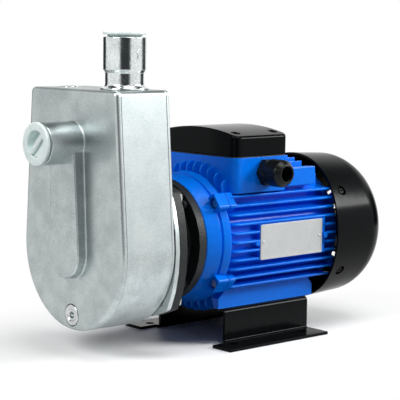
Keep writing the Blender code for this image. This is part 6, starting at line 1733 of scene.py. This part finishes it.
@dataclass
class Studio:
    """Camera, floor, background and lamps of a pale product picture."""

    azimuth: float = 48.476
    elevation: float = 6.679
    roll: float = 0.653
    distance: float = 1293.9
    aim_right: float = 117.6
    aim_up: float = 46.74
    focal_px: float = 1405.8
    picture_px: float = 400.0
    sensor: float = 36.0
    ambient: float = 0.11
    white_from: float = 0.1
    white_to: float = 0.42
    wall_colour: str = "#ffffff"
    room_colour: str = "#2c3133"
    ambient_colour: str = "#f2f6fa"
    floor_colours: tuple[str, str] = ("#f7f8f8", "#fbfbfb")
    floor_to_lamps: str = "#7b8083"
    floor_half: float = 1.2
    floor_narrowing: float = 1.6
    lamps_aim: float = 0.14
    rooms: tuple[tuple[float, float, float, float], ...] = (
        (54.0, 0.0, 34.0, 22.0), (-92.0, 0.0, 28.0, 20.0), (175.0, 0.0, 22.0, 14.0))
    ceiling: tuple[float, float] = (30.0, 42.0)
    lamps: list[Lamp] = field(default_factory=lambda: [
        Lamp(138.0, 25.5, 1.9, 0.9, 0.58, 31.0), Lamp(95.0, 70.0, 1.8, 1.0, 1.0, 19.0),
        Lamp(2.0, 38.0, 1.8, 0.7, 0.7, 21.0)])

    def direction(self, azimuth: float, elevation: float) -> Vector:
        """Give the unit vector towards an azimuth and elevation in degrees."""
        a, e = math.radians(azimuth), math.radians(elevation)
        return Vector((math.sin(a) * math.cos(e), -math.cos(a) * math.cos(e), math.sin(e)))

    def camera(self) -> None:
        """Stand the camera where the photograph was taken from."""
        back = self.direction(self.azimuth, self.elevation)
        right = (-back).cross(Vector((0, 0, 1))).normalized()
        up = right.cross(-back)
        aim = right * self.aim_right + up * self.aim_up
        r = math.radians(self.roll)
        turned_right = right * math.cos(r) + up * math.sin(r)
        turned_up = up * math.cos(r) - right * math.sin(r)
        data = bpy.data.cameras.new("camera")
        data.sensor_width = self.sensor
        data.lens = self.sensor * self.focal_px / self.picture_px
        data.clip_start, data.clip_end = 0.05, 20.0
        camera = placed("camera", data)
        place = Matrix((turned_right, turned_up, back)).transposed().to_4x4()
        place.translation = ORIGIN + (aim + back * self.distance) / 1000
        camera.matrix_world = place
        bpy.context.scene.camera = camera

    def shown(self, tree: bpy.types.NodeTree) -> bpy.types.NodeSocket:
        """Tell the rays that show a surface from those that only light things.

        Args:
            tree: The node tree that asks.

        Returns:
            A socket with 1 for the camera, metal and glass, and 0 for scattered light.
        """
        path = put(tree, "ShaderNodeLightPath")
        metal = put(tree, "ShaderNodeMath", {"operation": "MAXIMUM"},
                    i0=path.outputs["Is Glossy Ray"], i1=path.outputs["Is Transmission Ray"])
        return put(tree, "ShaderNodeMath", {"operation": "MAXIMUM"},
                   i0=path.outputs["Is Camera Ray"], i1=metal).outputs[0]

    def world(self) -> None:
        """Light the scene softly, with a white wall between dim rooms."""
        world = bpy.data.worlds.new("studio")
        bpy.context.scene.world = world
        world.use_nodes = True
        tree = world.node_tree
        tree.nodes.clear()
        spread = put(tree, "ShaderNodeBackground", Color=linear(self.ambient_colour),
                     Strength=self.ambient)
        place = put(tree, "ShaderNodeTexCoord").outputs["Generated"]
        spots = [((0.0, 0.0, 1.0), *(math.sin(math.radians(e)) for e in self.ceiling))]
        for azimuth, elevation, wide, narrow in self.rooms:
            spots.append((self.direction(azimuth, elevation), math.cos(math.radians(wide)),
                          math.cos(math.radians(narrow))))
        unlit = 0.0
        for towards, edge, core in spots:
            facing = put(tree, "ShaderNodeVectorMath", {"operation": "DOT_PRODUCT"}, i0=place,
                         i1=towards)
            dim = put(tree, "ShaderNodeMapRange", {"interpolation_type": "SMOOTHSTEP"},
                      Value=facing.outputs["Value"], From_Min=edge, From_Max=core)
            unlit = put(tree, "ShaderNodeMath", {"operation": "MAXIMUM"}, i0=unlit, i1=dim)
        camera = put(tree, "ShaderNodeLightPath").outputs["Is Camera Ray"]
        wall = put(tree, "ShaderNodeMath", {"operation": "SUBTRACT"}, i0=1.0, i1=unlit)
        white = put(tree, "ShaderNodeMath", {"operation": "MAXIMUM"}, i0=camera, i1=wall)
        shade = put(tree, "ShaderNodeMix", {"data_type": "RGBA"}, Factor=white,
                    i6=linear(self.room_colour), i7=linear(self.wall_colour))
        seen = put(tree, "ShaderNodeBackground", Color=shade.outputs[2], Strength=1.0)
        mix = put(tree, "ShaderNodeMixShader", i0=self.shown(tree), i1=spread, i2=seen)
        put(tree, "ShaderNodeOutputWorld", Surface=mix)

    def floor(self) -> None:
        """Lay the white floor, which keeps the pump's shadow and fades into the background."""
        solid = Solid()
        bmesh.ops.create_grid(solid.bm, x_segments=1, y_segments=1, size=self.floor_half)
        mesh = solid.to_mesh("floor")
        mat = bpy.data.materials.new("white_studio_floor")
        mat.use_nodes = True
        tree = mat.node_tree
        shader = tree.nodes["Principled BSDF"]
        place = put(tree, "ShaderNodeTexCoord").outputs["Object"]
        cloud = put(tree, "ShaderNodeTexNoise", Vector=place, Scale=3.0).outputs["Fac"]
        first, second = (linear(colour) for colour in self.floor_colours)
        tint = put(tree, "ShaderNodeMix", {"data_type": "RGBA"}, Factor=cloud, i6=first, i7=second)
        shown = self.shown(tree)
        dulled = put(tree, "ShaderNodeMix", {"data_type": "RGBA"}, Factor=shown,
                     i6=linear(self.floor_to_lamps), i7=tint.outputs[2])
        tree.links.new(dulled.outputs[2], shader.inputs["Base Color"])
        shader.inputs["Roughness"].default_value = 0.5
        drawn = put(tree, "ShaderNodeMapping", Vector=place, Scale=(self.floor_narrowing, 1.0, 1.0))
        away = put(tree, "ShaderNodeVectorMath", {"operation": "LENGTH"}, i0=drawn)
        fade = put(tree, "ShaderNodeMapRange", {"interpolation_type": "SMOOTHSTEP"},
                   Value=away.outputs["Value"], From_Min=self.white_from, From_Max=self.white_to)
        share = put(tree, "ShaderNodeMath", {"operation": "MULTIPLY"}, i0=fade, i1=shown)
        glow = put(tree, "ShaderNodeEmission", Color=linear(self.wall_colour), Strength=1.0)
        mix = put(tree, "ShaderNodeMixShader", i0=share, i1=shader, i2=glow)
        out = next(n for n in tree.nodes if n.type == "OUTPUT_MATERIAL")
        tree.links.new(mix.outputs[0], out.inputs["Surface"])
        mesh.materials.append(mat)
        placed("floor", mesh)

    def light(self) -> None:
        """Hang the soft lamps round the pump."""
        middle = Vector((0, 0, self.lamps_aim))
        for number, lamp in enumerate(self.lamps, 1):
            data = bpy.data.lights.new(f"lamp_{number}", "AREA")
            data.shape = "RECTANGLE"
            data.size, data.size_y = lamp.width, lamp.height
            data.energy = lamp.power
            hung = placed(f"lamp_{number}", data)
            towards = self.direction(lamp.azimuth, lamp.elevation)
            hung.location = middle + towards * lamp.away
            hung.rotation_mode = "QUATERNION"
            hung.rotation_quaternion = (-towards).to_track_quat("-Z", "Y")

    def build(self) -> None:
        """Set up the whole studio."""
        self.camera()
        self.world()
        self.floor()
        self.light()
        bpy.context.scene.view_settings.view_transform = "Standard"


def main() -> None:
    """Build the pump's finished pieces and the studio round them."""
    logging.basicConfig(level=logging.INFO, format="%(message)s")
    Studio().build()
    casing = PumpCasing()
    casing.build()
    port = DischargeNozzle()
    port.build()
    suction_end = (0.0, -casing.nozzle_length, casing.suction_z)
    TransitPlug("suction_plug", Axis.MINUS_Y, suction_end).build()
    TransitPlug("discharge_plug", Axis.Z, (*port.centre, port.base_z + port.height)).build()
    SocketPlug("drain_plug", Axis.MINUS_Y, (0.0, 0.0, casing.drain_z)).build()
    SocketPlug("priming_plug", Axis.Z, (*casing.priming, casing.top_z)).build()
    for part in (Lantern(), FrontShield(), MotorFrame(), FanCowl(), TerminalCover(),
                 CableGland(), BarePlate(), FoldedBase()):
        part.build()
    fit_all_fasteners()
    dress_inner_pieces()


ORIGIN = packed_origin()
ORIGIN_INVERSE = Matrix.Scale(1000, 4) @ Matrix.Translation(-ORIGIN)

if __name__ == "__main__":
    main()
